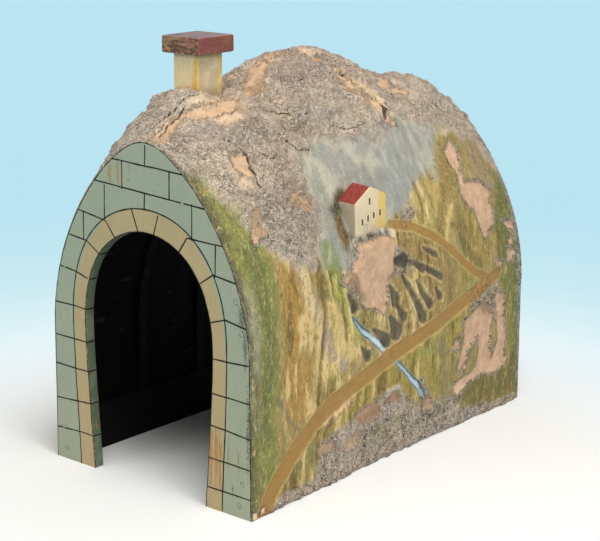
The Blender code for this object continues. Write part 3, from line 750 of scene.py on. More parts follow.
# Granular places below the rock.
coarsePlaces = (
    ((-128, -2), (-110, 7), (-80, 9), (0, 9), (70, 10), (100, 5), (130, 3), (130, -2)),
    ((-88, 2), (-76, 22), (-65, 29), (-51, 32), (-35, 34), (-18, 41), (-1, 41), (10, 32), (24, 22),
        (46, 22), (69, 18), (40, 2), (-23, -4), (-69, -4)),
    ((75, 88), (99, 86), (102, 76), (86, 76), (77, 72), (70, 74)),
    ((4, 140), (14, 146), (22, 142), (16, 134), (4, 134)),
    ((-11, 125), (0, 124), (10, 114), (8, 108), (-4, 109), (-11, 117)),
    ((-50, 118), (-44, 110), (-38, 100), (-44, 98), (-52, 108)),
    ((75, 80), (79, 88), (92, 91), (105, 84), (104, 67), (94, 65), (85, 71)),
    ((118, 196), (124, 168), (129, 154), (131, 138), (129, 112), (136, 100), (136, 210), (112, 214)),
    ((128, 104), (131, 60), (132, 14), (136, 14), (136, 110)),
    ((16, 40), (22, 42), (34, 24), (24, 20)),
)


# Smooth curve through points: each span is a cubic whose slopes are the points' own gradients.
def curveThrough(places, x):
    px, py = np.array(places, dtype=float).T
    slope = np.gradient(py, px)
    k = np.clip(np.searchsorted(px, x) - 1, 0, len(px) - 2)
    s = px[k + 1] - px[k]
    t = (x - px[k]) / s
    rise = py[k] * (1 + 2 * t) * (1 - t) ** 2 + py[k + 1] * t * t * (3 - 2 * t)
    return rise + s * (slope[k] * t * (1 - t) ** 2 - slope[k + 1] * t * t * (1 - t))


# Distance from each place to the nearest point of a broken line.
def lineGap(place, line):
    line = np.array(line, dtype=float)
    best = np.full(place.shape[:-1], 1e9)
    for a, b in zip(line[:-1], line[1:]):
        t = np.clip(((place - a) @ (b - a)) / ((b - a) @ (b - a)), 0, 1)
        best = np.minimum(best, np.linalg.norm(place - a - t[..., None] * (b - a), axis=-1))
    return best


# Distance inside an outline, positive within it: crossings of a level ray decide which side a place is on.
def areaDepth(place, outline):
    ring = np.array(outline, dtype=float)
    inside = np.zeros(place.shape[:-1], dtype=bool)
    for a, b in zip(ring, np.roll(ring, -1, axis=0)):
        if a[1] != b[1]:
            crosses = (a[1] > place[..., 1]) != (b[1] > place[..., 1])
            reach = (b[0] - a[0]) * (place[..., 1] - a[1]) / (b[1] - a[1]) + a[0]
            inside ^= crosses & (place[..., 0] < reach)
    gap = lineGap(place, np.vstack([ring, ring[:1]]))
    return np.where(inside, gap, -gap)


# Half sections from the foot to the ridge at each Y, their points spaced evenly.
def halfSections(y, count):
    top = curveThrough(mountain["ridge"], y)[:, None]
    (springX, springZ), foot = mountain["spring"], mountain["foot"]
    grow = (top - springZ) / (mountain["archTop"] - springZ)
    t = np.linspace(0, 1, 70)[None, :]
    one = np.ones_like(top)
    lowX = cubic(foot, foot - 0.33, springX, springX, t) * one
    lowZ = cubic(0, 27, springZ - mountain["below"], springZ, t) * one
    highX = cubic(springX * one, springX * one, mountain["flat"] * grow, 0 * one, t)
    highZ = cubic(springZ * one, springZ + mountain["above"] * grow, top, top, t)
    line = np.stack([np.hstack([lowX, highX[:, 1:]]), np.hstack([lowZ, highZ[:, 1:]])], axis=-1)
    return np.stack([spaced(row, count) for row in line])


# Depth inside an outline on the right side, and on the left side too when it lies low enough.
def sideDepth(fields, outline, below=math.inf):
    depth = areaDepth(fields["right"], outline)
    if np.mean([place[1] for place in outline]) < below:
        depth = np.maximum(depth, areaDepth(fields["left"], outline))
    return depth


# How far a tone from the rock table covers each place.
def toneMask(fields, sway, soft, outline):
    depth = sideDepth(fields, outline, mountain["toneBelow"])
    return smoothStep(depth + sway * 1.4, -soft * 0.6, soft * 0.6)


# Everything the surface needs to know at each place: right and left places, and how far each kind reaches.
def slopeFields(points, y, fromRight, fromLeft):
    right, left = np.stack([y, fromRight], axis=-1), np.stack([-y * 0.96 - 5, fromLeft], axis=-1)
    sway = cloud(points, 9, 201, 2) * 1.6
    fields = {"right": right, "left": left}
    area = ((-170, 196),) + rockEdge + ((170, 150), (170, 600), (-170, 600))
    rockDepth = np.minimum(areaDepth(right, area), areaDepth(left, area))
    fields["rock"] = smoothStep(rockDepth + sway * 2.2, -6, 5)
    peel = np.full(y.shape, -9.0)
    for outline in peeledPlaces:
        peel = np.maximum(peel, sideDepth(fields, outline, mountain["bareBelow"]))
    for outline in keptPlaces:
        peel = np.minimum(peel, -sideDepth(fields, outline))
    fields["peel"] = np.clip(peel + sway * 0.35, -4, 4)
    for kind, lines in slopeLines.items():
        field = np.full(y.shape, -9.0)
        for halfWidth, line in lines:
            first, last = np.array(line[0]), np.array(line[-1])
            ahead = last - first
            for where in (right, left) if first[1] < mountain["linesBelow"] else (right,):
                t = np.clip((where - first) @ ahead / (ahead @ ahead), 0, 1)
                taper = halfWidth * (0.45 + 0.7 * t if kind in ("furrow", "water") else 1)
                field = np.maximum(field, taper - lineGap(where, line))
        fields[kind] = np.clip(field + sway * (0.2 if kind != "crack" else 0.05), -4, 5)
    shadow = np.exp(-(lineGap(right, houseShadow) / 6) ** 2)
    washDepth = sideDepth(fields, washOutline)
    fields["wash"] = smoothStep(washDepth + sway, -3, 4) * (1 - fields["rock"]) * (1 - shadow)
    coarse = np.full(y.shape, -9.0)
    for outline in coarsePlaces:
        coarse = np.maximum(coarse, sideDepth(fields, outline))
    coarse = np.maximum(smoothStep(coarse + sway, -2, 3), fields["rock"] * 0.9)
    for _, soft, _, loss, outline in rockTones:
        coarse = coarse * (1 - loss * toneMask(fields, sway, soft, outline))
    fields["coarse"] = coarse
    drip = lattice(np.stack([y + sway * 0.7, points[..., 2] / 7, points[..., 0] / 7], axis=-1), 3.3, 211)
    drip = drip * (1 - fields["rock"]) * (1 - fields["wash"]) * smoothStep(rockDepth, 12, -8)
    fields["drip"] = drip * smoothStep(y, -116, -102) * (1 - 0.6 * smoothStep(y, 0, 45))
    return fields


# The colour of each point: the ground, then the washes, the rock's tones, drips and grime, each blended over.
def paintColors(points, fields, y):
    rock = fields["rock"]
    strokes = lattice(np.stack([y, points[..., 2] / 7, points[..., 0] / 3], axis=-1), 5.0, 301)
    patches = cloud(points, 24, 302, 3)
    color = np.array(tint(158, 138, 84)) * np.ones(y.shape + (1,))
    blend = lambda mask, shade: color + (np.array(tint(*shade)) - color) * mask[..., None]
    color = blend(smoothStep(patches + strokes * 0.5, 0.0, 0.7), (138, 124, 66))
    color = blend(smoothStep(-patches + strokes * 0.5, 0.1, 0.8), (130, 122, 68))
    sway = cloud(points, 11, 303, 3) * 2.2 + strokes * 1.5
    for shade, soft, amount, halfWidth, places in washes:
        depth = np.full(y.shape, -99.0)
        low = places is not houseShadow and np.mean([place[1] for place in places]) <= mountain["washesBelow"]
        for where in (fields["right"], fields["left"]) if low else (fields["right"],):
            inside = halfWidth - lineGap(where, places) if halfWidth else areaDepth(where, places)
            depth = np.maximum(depth, inside)
        color = blend(smoothStep(depth + sway * min(soft, 4) / 4, -soft * 0.6, soft * 0.6) * amount, shade)
    tone = cloud(points, 20, 304, 3)
    for mask, shade in ((0.95, (236, 216, 196)), (smoothStep(tone, 0.0, 0.6) * 0.7, (200, 182, 168)),
                        (smoothStep(-tone, 0.15, 0.7) * 0.7, (250, 228, 202)),
                        (smoothStep(cloud(points, 13, 305, 2), 0.3, 0.7) * 0.45, (184, 164, 130))):
        color = blend(rock * mask, shade)
    for shade, soft, amount, _, outline in rockTones:
        color = blend(toneMask(fields, sway * 0.7, soft, outline) * amount * np.maximum(rock, 0.4), shade)
    drip = fields["drip"] * (1 - smoothStep(fields["road"], -1, 1))
    grime = smoothStep(np.abs(y) + cloud(points, 7, 306, 2) * 2.5, 130.5, 133.5) * (1 - rock)
    foot = smoothStep(points[..., 2] + cloud(points, 8, 307, 2) * 2.0, 3.2, 1.0)
    lowRock = smoothStep(areaDepth(fields["right"], lowRockPlace) + sway, -3, 3)
    for mask, shade in ((smoothStep(drip, 0.22, 0.5) * 0.6, (232, 206, 148)),
                        (smoothStep(-drip, 0.12, 0.42) * 0.8, (100, 74, 32)), (grime * 0.75, (78, 72, 56)),
                        (foot * 0.8, (150, 132, 112)), (lowRock * 0.5, (208, 190, 174))):
        color = blend(mask, shade)
    return color


# Height in millimetres above the smooth section: lumps, torn paper layers, pressed lines and the ledge.
def slopeRelief(points, fields, y):
    rock, peel, right = fields["rock"], fields["peel"], fields["right"]
    road = smoothStep(fields["road"], -1.5, 1.5)
    calm = (1 - 0.75 * road) * (1 - 0.6 * smoothStep(peel, -0.3, 0.8))
    middle, small = cloud(points, 12, 402, 2), cloud(points, 4.6, 403, 2)
    layers = (cloud(points, 26, 404, 2) * 2.0 + points[..., 2] / 30) * 1.5
    torn = np.floor(layers) + smoothStep(layers - np.floor(layers), 0, 0.1) - layers
    grit = np.abs(lattice(points, 3.0, 405))
    height = cloud(points, 34, 401, 2) * 1.1 + calm * (middle * 0.35 + small * 0.16)
    height += rock * (middle * 1.5 + small * 0.9 + torn * mountain["tornStep"] + grit * mountain["grit"])
    height += fields["coarse"] * (1 - rock) * (small * 0.6 + grit * 1.0 + 0.3)
    height += 1.1 * fields["drip"] * calm * (1 - smoothStep(peel, -0.5, 0.5))
    # each pressed place stands up a little round its rim
    height -= mountain["bareDepth"] * smoothStep(peel, -0.25, 0.35) - 0.4 * np.exp(-((peel + 1.2) / 0.8) ** 2)
    height -= mountain["roadDepth"] * road - 0.35 * np.exp(-((fields["road"] + 1.0) / 0.9) ** 2)
    height -= mountain["streamDepth"] * smoothStep(fields["water"], -1, 1)
    height -= mountain["furrowDepth"] * smoothStep(fields["furrow"], -1.2, 1.2)
    height -= mountain["crackDepth"] * smoothStep(fields["crack"], -0.9, 0.3)
    for line, reach, rise in swells:
        height += rise * np.exp(-(lineGap(right, line) / reach) ** 2)
    for place, reach, rise in bulges:
        height += rise * np.exp(-(((right - place) ** 2).sum(axis=-1) / reach ** 2))
    ledge = areaDepth(right, peeledPlaces[15])
    shelf = smoothStep(right[..., 1], 92, 134) * smoothStep(ledge + middle, -2.5, 2.5) * mountain["shelf"]
    height += shelf * smoothStep(-right[..., 1], -140, -133)
    height += mountain["fold"] * np.exp(-(lineGap(right, seamFold) / 1.3) ** 2)
    return height * (0.12 + 0.88 * smoothStep(135 - np.abs(y), 0.5, 11))


# Half sections along Y joined over the ridge: each point + its normal x the relief, closed by an inner wall.
def makeMountain():
    half, rows, thick = mountain["halfLength"], mountain["rows"], mountain["thickness"]
    y = np.linspace(-half, half, rows)
    right = halfSections(y, mountain["rightColumns"])
    left = halfSections(y, mountain["leftColumns"])[:, -2::-1] * np.array([-1, 1])
    line = np.concatenate([right, left], axis=1).transpose(1, 0, 2)
    yGrid = np.broadcast_to(y, line.shape[:2])
    points = np.stack([line[..., 0], yGrid, line[..., 1]], axis=-1)
    steps = np.linalg.norm(np.diff(line, axis=0), axis=-1)
    fromRight = np.vstack([np.zeros(rows), np.cumsum(steps, axis=0)])
    normal = np.cross(np.gradient(points, axis=1), np.gradient(points, axis=0))
    normal /= np.linalg.norm(normal, axis=-1)[..., None]
    fields = slopeFields(points, yGrid, fromRight, fromRight[-1] - fromRight)
    along = (yGrid + half) / (2 * half)
    sag = mountain["footSag"] * np.sin(np.pi * along) * smoothStep(-points[..., 2], -45, 0)
    smooth = points - np.sign(points[..., :1]) * np.array([1, 0, 0]) * sag[..., None]
    fields["paint"] = paintColors(points, fields, yGrid)
    padding = (mountain["paperDepth"] - thick) * smoothStep(points[..., 2], 22, 45)
    outer = smooth + normal * np.maximum(slopeRelief(points, fields, yGrid), -0.5 - padding)[..., None]
    outer[0, :, 2] = outer[-1, :, 2] = 0.25 + 0.25 * lattice(points[0], 4.0, 501)
    # the inner wall needs fewer rows, and lies flush with the portals at both ends
    pick = np.linspace(0, rows - 1, mountain["innerRows"]).round().astype(int)[::-1]
    pick = np.insert(pick, (1, len(pick) - 1), (rows - 6, 5))
    inner = smooth[:, pick] - normal[:, pick] * (thick + padding[:, pick])[..., None]
    portalLine = archLine({**outerArch, "foot": mountain["flushFoot"]}, line.shape[0])
    flush = np.stack([portalLine[:, 0] * 1.0008, np.zeros(len(portalLine)), portalLine[:, 1] + 0.05], axis=-1)
    atPortal = np.abs(y[pick]) > 128
    inner[:, atPortal] = flush[:, None, :] + np.array([0, 1, 0]) * y[pick][atPortal][None, :, None]
    inner[0, :, 2] = inner[-1, :, 2] = mountain["footGap"]
    none = {"paint": tint(*mountain["inside"]), "coarse": 0.0, "rock": 0.0, "wash": 0.0}
    none.update({key: -4.0 for key in ("peel", "road", "water", "furrow", "crack")})
    values = {}
    for key, empty in none.items():
        filler = np.broadcast_to(empty, inner.shape if key == "paint" else inner.shape[:2])
        values[key] = np.concatenate([fields[key], filler], axis=1)
    makePiece("mountain_skin", np.concatenate([outer, inner], axis=1), mountainPaint(),
              ("mountain_shell",), values)


# Brushed paint over lumpy paper: vertical strokes, dabs, granular rock and bare tan places from the fields.
def mountainPaint():
    finish = Finish("landscape_paint", roughness=0.75, specular=0.35)
    noise, step, read = finish.noise, finish.step, finish.attribute
    paint = Value(finish, finish.node("ShaderNodeAttribute", {"attribute_name": "paint"}).outputs[0])
    rock = read("rock")
    wobble = (noise(2.4, 5, shift=6.0, roughness=0.72) - 0.5) * 1.7
    islands = step(noise(5.0, 4, shift=27.0, roughness=0.65), 0.56, 0.66)
    peel = read("peel") + wobble * 5.5 - islands * (1 - rock) * 1.8
    bare = step(peel, -0.08, 0.12)
    # The granular fringe round each bare place gives it a dark speckled edge, partly painted shadow of the
    # torn paper.
    fringe = step(peel, -2.6, -0.8) * (1 - bare) * 0.85
    coarse = finish.maths("MAXIMUM", read("coarse"), fringe)
    shade = lambda under, factor: finish.value("ShaderNodeVectorMath", {"operation": "SCALE"},
                                               {0: under, 3: factor})
    wash = read("wash")
    fine = noise(0.8, 3, stretch=(1, 1, 1.5), roughness=0.7)
    wide = noise(6.0, 3, shift=2.0)
    thin = noise(0.8, 3, stretch=(1, 1, 4), shift=4.0, roughness=0.7, warp=0.5)
    broad = noise(2.6, 4, stretch=(1, 1, 3.2), shift=8.0, roughness=0.62, warp=0.9)
    strokes = thin * 0.5 + broad * 0.5
    field = (1 - coarse) * (1 - wash * 0.75)
    finish.color = shade(paint, 0.6 + wide * 0.34 + strokes * 0.46)
    finish.lay(step(strokes, 0.52, 0.62) * field * 0.5, (222, 196, 132))
    finish.lay(step(strokes, 0.47, 0.38) * field * 0.66, (88, 70, 34))
    dabs = noise(3.2, 4, stretch=(1, 1, 2.0), shift=7.0, roughness=0.65)
    finish.lay(step(dabs, 0.56, 0.63) * field * (1 - rock) * 0.5, (112, 120, 58))
    finish.lay(step(dabs, 0.43, 0.37) * field * (1 - rock) * 0.45, (156, 124, 60))
    mist = noise(7.0, 3, stretch=(1, 1, 3.5), shift=15.0)
    finish.lay(step(mist, 0.5, 0.66) * wash * 0.6, (182, 180, 166))
    finish.lay(step(mist, 0.46, 0.34) * wash * 0.5, (130, 134, 132))
    finish.lay(step(fine, 0.56, 0.7) * (1 - coarse) * 0.28, (224, 208, 168))
    finish.lay(step(fine, 0.44, 0.34) * (1 - coarse) * 0.34, (86, 76, 52))
    grains = finish.cells(1.0)
    finer = noise(0.55, 3, shift=9.0, roughness=0.75)
    clumps = noise(2.2, 3, shift=17.0, roughness=0.7)
    patchy = step(noise(8.0, 3, shift=11.0), 0.4, 0.62)
    # Pits between the grains are painted dark as painted shade; pale crumbs are the grains' own colour with
    # painted highlights.
    pits = step(grains * 0.5 + finer + clumps * 0.6, 1.02, 1.16)
    crumbsAndHighlights = step(finer + (1 - clumps) * 0.7 - grains * 0.4, 0.66, 0.8)
    low = 1 - rock
    ground = finer * 0.5 + clumps
    blotch = noise(4.5, 4, shift=31.0, roughness=0.68)
    finish.lay(low * coarse * step(blotch, 0.5, 0.58) * 0.75, (236, 216, 198))
    finish.lay(low * coarse * step(blotch, 0.42, 0.36) * 0.75, (138, 130, 52))
    finish.lay(low * coarse * step(ground, 0.72, 0.8) * 0.7, (244, 230, 212))
    finish.lay(low * coarse * step(ground, 0.7, 0.62) * 0.75, (58, 50, 38))
    # On the rock, pale clumps are painted highlights and dark clumps are painted shade in its crevices.
    finish.lay(rock * coarse * step(clumps, 0.53, 0.63) * 0.45, (250, 232, 208))
    finish.lay(rock * coarse * step(clumps, 0.44, 0.34) * 0.45, (92, 76, 66))
    finish.lay(crumbsAndHighlights * coarse * (0.35 + patchy * 0.4 + low * 0.25), (250, 238, 220))
    finish.lay(pits * coarse * (0.3 + patchy * 0.35), finish.layer(low, (88, 72, 60), (44, 38, 32)))
    # Thin dark lines along the creases of the granular places: painted shade.
    creases = finish.maths("ABSOLUTE", noise(5.0, 4, shift=23.0, roughness=0.68, warp=1.2) - 0.5)
    creases = step(creases, 0.028, 0.006) * coarse
    finish.lay(creases * (0.3 + patchy * 0.35), (66, 52, 44))
    water = step(read("water") + wobble * 1.2, -0.2, 0.6)
    finish.lay(step(read("water") + wobble * 2, -1.6, -0.4) * 0.5, (150, 150, 128))
    # Dark blue along the stream's edges and light blue in its middle: the dark edges are painted shade in its
    # pressed-in bed.
    flow = step(read("water") + (fine - 0.5) * 2, 0.7, 1.3)
    finish.lay(water * 0.92, finish.layer(flow, (58, 84, 108), (170, 198, 210)))
    glint = step(read("water") + (thin - 0.5) * 6, 2.0, 2.8)
    finish.lay(glint * 0.8, (236, 242, 242))
    furrow = step(read("furrow") + wobble * 1.2 + (broad - 0.5) * 5, -1.0, 1.3)
    finish.lay(furrow * 0.85, finish.layer(step(strokes, 0.4, 0.65), (58, 54, 50), (92, 86, 74)))
    ridgeLight = step(read("furrow") + wobble, -1.8, -0.8) * (1 - furrow)
    finish.lay(ridgeLight * step(broad, 0.42, 0.56) * 0.6, (222, 198, 140))
    road = step(read("road") + wobble * 1.3, -0.4, 0.9)
    rut = noise(2.6, 3, stretch=(1, 3, 0.8), shift=1.0)
    roadColor = finish.layer(rut, (146, 108, 48), (170, 134, 74))
    finish.lay(road * 0.93, shade(roadColor, 0.82 + fine * 0.3))
    verge = step(read("road") + wobble, -1.4, -0.3) * (1 - road)
    finish.lay(verge * 0.4, (206, 178, 116))
    tan = finish.layer(step(wide, 0.35, 0.65), (208, 170, 138), (188, 154, 124))
    tan = finish.layer(step(fine, 0.6, 0.72) * 0.35, tan, (150, 118, 92))
    tan = finish.layer(step(noise(3.0, 3, shift=13.0), 0.58, 0.66) * 0.5, tan, (222, 194, 166))
    # A dark line just outside each bare place: painted shadow along its torn edge.
    finish.lay(step(peel, -0.5, -0.1) * (1 - bare) * (0.4 - rock * 0.25), (104, 84, 60))
    dustAndSheen = noise(1.8, 3, shift=19.0, roughness=0.7)
    tan = finish.layer(step(dustAndSheen, 0.56, 0.66) * 0.4, tan, (170, 142, 112))
    tan = finish.layer(step(finish.axis("Z"), 34, 14) * 0.8, tan, (234, 204, 170))
    tan = finish.layer(rock * 0.85, tan, finish.layer(dustAndSheen, (206, 172, 138), (236, 204, 170)))
    finish.lay(bare, tan)
    # Dark cracks: painted shade in the pressed-in cracks, and the summit fold's painted shadow.
    crack = step(read("crack") + wobble * 0.5, -0.25, 0.15)
    finish.lay(crack * 0.9, (62, 48, 36))
    height = strokes * field * 1.1 + fine * 0.3 + coarse * (1 - road) * (crumbsAndHighlights * 0.5 - pits * 0.55)
    height = height - bare * 0.45 - crack * 0.5 - creases * 0.6 + wobble * 0.15
    finish.relief(height)
    return finish.done(0.5 + fine * 0.25 + coarse * 0.12)


makeMountain()
print("mountain made")


chimney = {
    "stack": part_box("chimney_stack"),
    "stackFoot": 204.0,
    "capSize": (26.7, 28.7, 9.5),
    "capPlace": (0.0, -93.0, 240.28),
    "capTurn": (2.4, 1.7, 1.4),
    "cornerRound": 0.9,
    "capRound": 0.7,
    "capDome": 0.35,
}


# Places in a piece's own directions become places on the object: turned about X, Y and Z, then moved.
def turned(local, degrees, place):
    a, b, c = np.radians(degrees)
    turnX = np.array([[1, 0, 0], [0, np.cos(a), -np.sin(a)], [0, np.sin(a), np.cos(a)]])
    turnY = np.array([[np.cos(b), 0, np.sin(b)], [0, 1, 0], [-np.sin(b), 0, np.cos(b)]])
    turnZ = np.array([[np.cos(c), -np.sin(c), 0], [np.sin(c), np.cos(c), 0], [0, 0, 1]])
    return local @ (turnZ @ turnY @ turnX).T + np.array(place)


# A rectangle with rounded corners: even points along the straight parts and round each corner.
def roundedRectangle(halfX, halfY, corner, perSide=16, perCorner=5):
    sides = []
    for k, (reachX, reachY) in enumerate(((halfX, halfY), (halfY, halfX), (halfX, halfY), (halfY, halfX))):
        straight = np.column_stack([np.full(perSide, reachX), np.linspace(-(reachY - corner), reachY - corner,
                                                                         perSide)])
        turn = np.linspace(0, np.pi / 2, perCorner + 2)[1:-1]
        bend = np.column_stack([reachX - corner + corner * np.cos(turn),
                                reachY - corner + corner * np.sin(turn)])
        angle = k * np.pi / 2
        spin = np.array([[np.cos(angle), np.sin(angle)], [-np.sin(angle), np.cos(angle)]])
        sides.append(np.vstack([straight, bend]) @ spin)
    return np.vstack(sides)


# A block of stacked rounded rectangles given as (inset, height), roughened like hand-cut wood.
def stackedBlock(low, high, corner, levels, rough, seed):
    center = (np.array(low)[:2] + np.array(high)[:2]) / 2
    half = (np.array(high)[:2] - np.array(low)[:2]) / 2
    rings = []
    for inset, z in levels:
        ring = roundedRectangle(half[0] - inset, half[1] - inset, max(corner - inset * 0.4, 0.25)) + center
        rings.append(np.column_stack([ring, np.full(len(ring), z)]))
    points = np.stack(rings)
    away = points - np.array([center[0], center[1], 0]) * np.array([1, 1, 0])
    away[..., 2] = 0
    away /= np.linalg.norm(away, axis=-1)[..., None] + 1e-9
    return points + away * (cloud(points, 6.0, seed, 2) * rough)[..., None]


def makeChimney():
    low, high = (np.array(corner) / mm for corner in chimney["stack"])
    heights = np.linspace(chimney["stackFoot"], high[2] + 0.25, 26)
    points = stackedBlock(low, high, chimney["cornerRound"], [(0, z) for z in heights], 0.12, 601)
    center = points.mean(axis=(0, 1))
    fields = {"across": points[..., 0] - center[0], "deep": points[..., 1] - center[1]}
    makePiece("chimney_stack_block", points, stackPaint(), ("chimney_stack",), fields,
              sharp=50)
    high = np.array(chimney["capSize"]) / 2
    low = -high
    r, dome = chimney["capRound"], chimney["capDome"]
    top = high[2] - dome
    levels = [(9, low[2]), (2, low[2]), (r, low[2]), (r * 0.3, low[2] + r * 0.35), (0, low[2] + r)]
    levels += [(0, z) for z in np.linspace(low[2] + r, top - r, 9)[1:]]
    levels += [(r * 0.3, top - r * 0.35), (r, top), (2.5, top + dome * 0.35), (5, top + dome * 0.65),
               (8, top + dome * 0.9), (11.5, high[2])]
    local = stackedBlock(low, high, 1.0, levels, 0.14, 611)
    fields = {name: local[..., k] for k, name in enumerate(("across", "deep", "up"))}
    makePiece("chimney_cap_block", turned(local, chimney["capTurn"], chimney["capPlace"]), capPaint(),
              ("chimney_cap",), fields, sharp=55)


# Cream paint, yellow down the front right corner and in streaks, darker towards the foot; painted shade on
# the side and under the cap.
def stackPaint():
    finish = Finish("stack_distemper", roughness=0.6)
    noise, step, read = finish.noise, finish.step, finish.attribute
    across, deep = read("across"), read("deep")
    front = step(deep, -8.6, -9.3)
    wide, fine = noise(7.0, 3), noise(0.9, 3, stretch=(1, 1, 5), roughness=0.6)
    wobble = noise(2.5, 3, stretch=(1, 1, 2)) - 0.5
    corner = across + wobble * 9 - (finish.axis("Z") - 220) * 0.12
    frontColor = finish.layer(step(corner, 3.4, 7.0), (228, 200, 154), (216, 174, 86))
    # The side is greyer than the front and painted darker still: painted shade.
    sideColor = finish.layer(step(deep + wobble * 8, 2.5, 7.5), (184, 162, 128), (192, 156, 78))
    finish.color = finish.layer(front, sideColor, frontColor)
    finish.lay(step(wide, 0.5, 0.7) * 0.4, (222, 206, 174))
    finish.lay(step(fine, 0.58, 0.7) * 0.35, (164, 138, 90))
    foot = step(finish.axis("Z") + wobble * 5, 219, 214)
    finish.lay(foot * 0.6, (142, 122, 92))
    # Darker at the top, just under the cap: the cap's painted shadow.
    shade = step(finish.axis("Z") + wobble, 232.2, 234.2)
    finish.lay(shade * 0.5, (110, 88, 60))
    chips = step(noise(1.4, 2, shift=4.0), 0.68, 0.72)
    finish.lay(chips * 0.7, (120, 98, 66))
    finish.relief(fine * 0.2 + wide * 0.25 - chips * 0.1)
    return finish.done(0.5 + fine * 0.25)


# Red-brown paint worn to brown and ochre on the front, with a pale painted sheen on top.
def capPaint():
    finish = Finish("cap_oil_paint", roughness=0.6, specular=0.2)
    noise, step, read = finish.noise, finish.step, finish.attribute
    x, y, z = (read(name) for name in ("across", "deep", "up"))
    normal = finish.node("ShaderNodeSeparateXYZ", {},
                         {0: finish.node("ShaderNodeNewGeometry").outputs["Normal"]})
    upward = step(Value(finish, normal.outputs[2]), 0.55, 0.9)
    grain = noise(1.2, 3, stretch=(7, 7, 1), roughness=0.6)
    mottle, wide = noise(1.1, 3, stretch=(4, 1, 1), roughness=0.7), noise(8.0, 2)
    front = step(y, -13.6, -14.1)
    finish.color = finish.layer(grain, (104, 54, 48), (132, 78, 70))
    rough = finish.layer(step(mottle, 0.42, 0.6), (92, 62, 48), (146, 106, 84))
    finish.lay(front, rough)
    ochre = step(mottle + wide * 0.6, 0.9, 0.96)
    finish.lay(ochre * (0.25 + front * 0.5), (178, 138, 84))
    worn = step(mottle * 3 + z * 0.6 - x * 0.22, 3.4, 4.4) * front
    finish.lay(worn * 0.35, (150, 132, 92))
    chips = step(noise(1.1, 2, shift=8.0) - (z + 4.8) * 0.05, 0.56, 0.6)
    finish.lay(chips * 0.85, (206, 160, 120))
    # The faces that look up are painted lilac-grey: a painted sheen of the sky's light.
    dustAndSheen = finish.layer(step(wide, 0.3, 0.7), (120, 106, 112), (142, 130, 136))
    dustAndSheen = finish.layer(step(mottle, 0.62, 0.74) * 0.5, dustAndSheen, (126, 104, 100))
    finish.lay(upward * 0.95, dustAndSheen)
    finish.relief(grain * 0.15 + mottle * 0.12 - ochre * 0.1 - chips * 0.15)
    return finish.done(0.36 + mottle * 0.3)


house = {
    "place": (73.0, -32.0, 137.6), "turn": (7.0, 3.0, -4.2),
    "half": 13.0, "eave": 18.9, "apex": 26.2, "depth": 13.0, "round": 0.35,
    "windows": ((-7.2, 7.4), (-2.5, 8.5), (2.4, 9.2), (7.7, 9.4), (-0.9, 17.9)),
    "windowSize": (1.4, 3.8), "surround": (1.75, 1.3), "doorLine": 0.28,
    "door": ((-5.8, 0.9), (-5.7, 5.2), (-3.1, 5.4), (-3.0, 1.1)),
}


# Local house places, X out of the gable, become places on the object.
def onHouse(local):
    return turned(local, house["turn"], house["place"])


# The gable's outline carried back into the hill, its front arris rounded by shrinking it towards its middle.
def makeHouse():
    half, eave, apex, r = house["half"], house["eave"], house["apex"], house["round"]
    corners = np.array([(-half, 0), (half, 0), (half, eave), (0, apex), (-half, eave), (-half, 0)],
                       dtype=float)
    outline = spaced(corners, 241)[:-1]
    for _ in range(2):
        outline = (np.roll(outline, 1, axis=0) + 2 * outline + np.roll(outline, -1, axis=0)) / 4
    middle = np.array([0.0, eave * 0.55])
    levels = [(r, 0), (r * 0.3, -r * 0.35), (0, -r)] + [(0, x) for x in np.linspace(-r, -house["depth"],
                                                                                    12)[1:]]
    rings = []
    for inset, x in levels:
        ring = middle + (outline - middle) * (1 - inset / half)
        rings.append(np.column_stack([np.full(len(ring), x), ring]))
    local = np.stack(rings)
    roof = np.minimum(local[..., 2] - eave + 0.1, -local[..., 0] - 0.5)
    local[..., 1:] += (cloud(local, 5.0, 621, 2) * 0.08)[..., None] * np.sign(local[..., 1:] - middle)
    fields = {"roofGap": roof, "across": local[..., 1], "up": local[..., 2], "deep": local[..., 0]}
    makePiece("house_carving", onHouse(local), housePaint(), ("house_block",), fields,
              sharp=40)
    outward = np.array([1.0, 0.0, 0.0])
    onGable = lambda y, z: np.column_stack([np.zeros(len(y)), y, z])
    panes, surrounds = [], []
    wide, tall = house["windowSize"]
    wider, taller = house["surround"]
    t = np.linspace(-0.5, 0.5, 9)
    for number, (y, z) in enumerate(house["windows"]):
        lean = y + 0.15 * np.sin(3 * number) * t
        shape = wide * (1 - 0.18 * np.abs(t * 2) ** 3 + 0.08 * np.sin(9 * t + number))
        panes.append(ribbon(onGable(lean, z + tall * t) + outward * 0.03, outward, shape, 0.07))
        surrounds.append(ribbon(onGable(lean, z + tall * taller * t), outward, wide * wider, 0.045))
    door = [ribbon(onGable(*spaced(np.array(house["door"]), 26).T), outward, house["doorLine"], 0.04)]
    for name, strips, one, other in (
            ("house_window_panes", panes, (38, 30, 26), (66, 52, 42)),
            ("house_window_surrounds", surrounds, (222, 206, 172), (206, 186, 146)),
            ("house_door_outline", door, (136, 138, 118), (110, 108, 90))):
        points, faces = joinRibbons(strips)
        paint = twoTone(name + "_paint", 1.2, one, other, 0.6, 0.06, 0.5)
        makePiece(name, onHouse(points), paint, faces=faces, sharp=60)


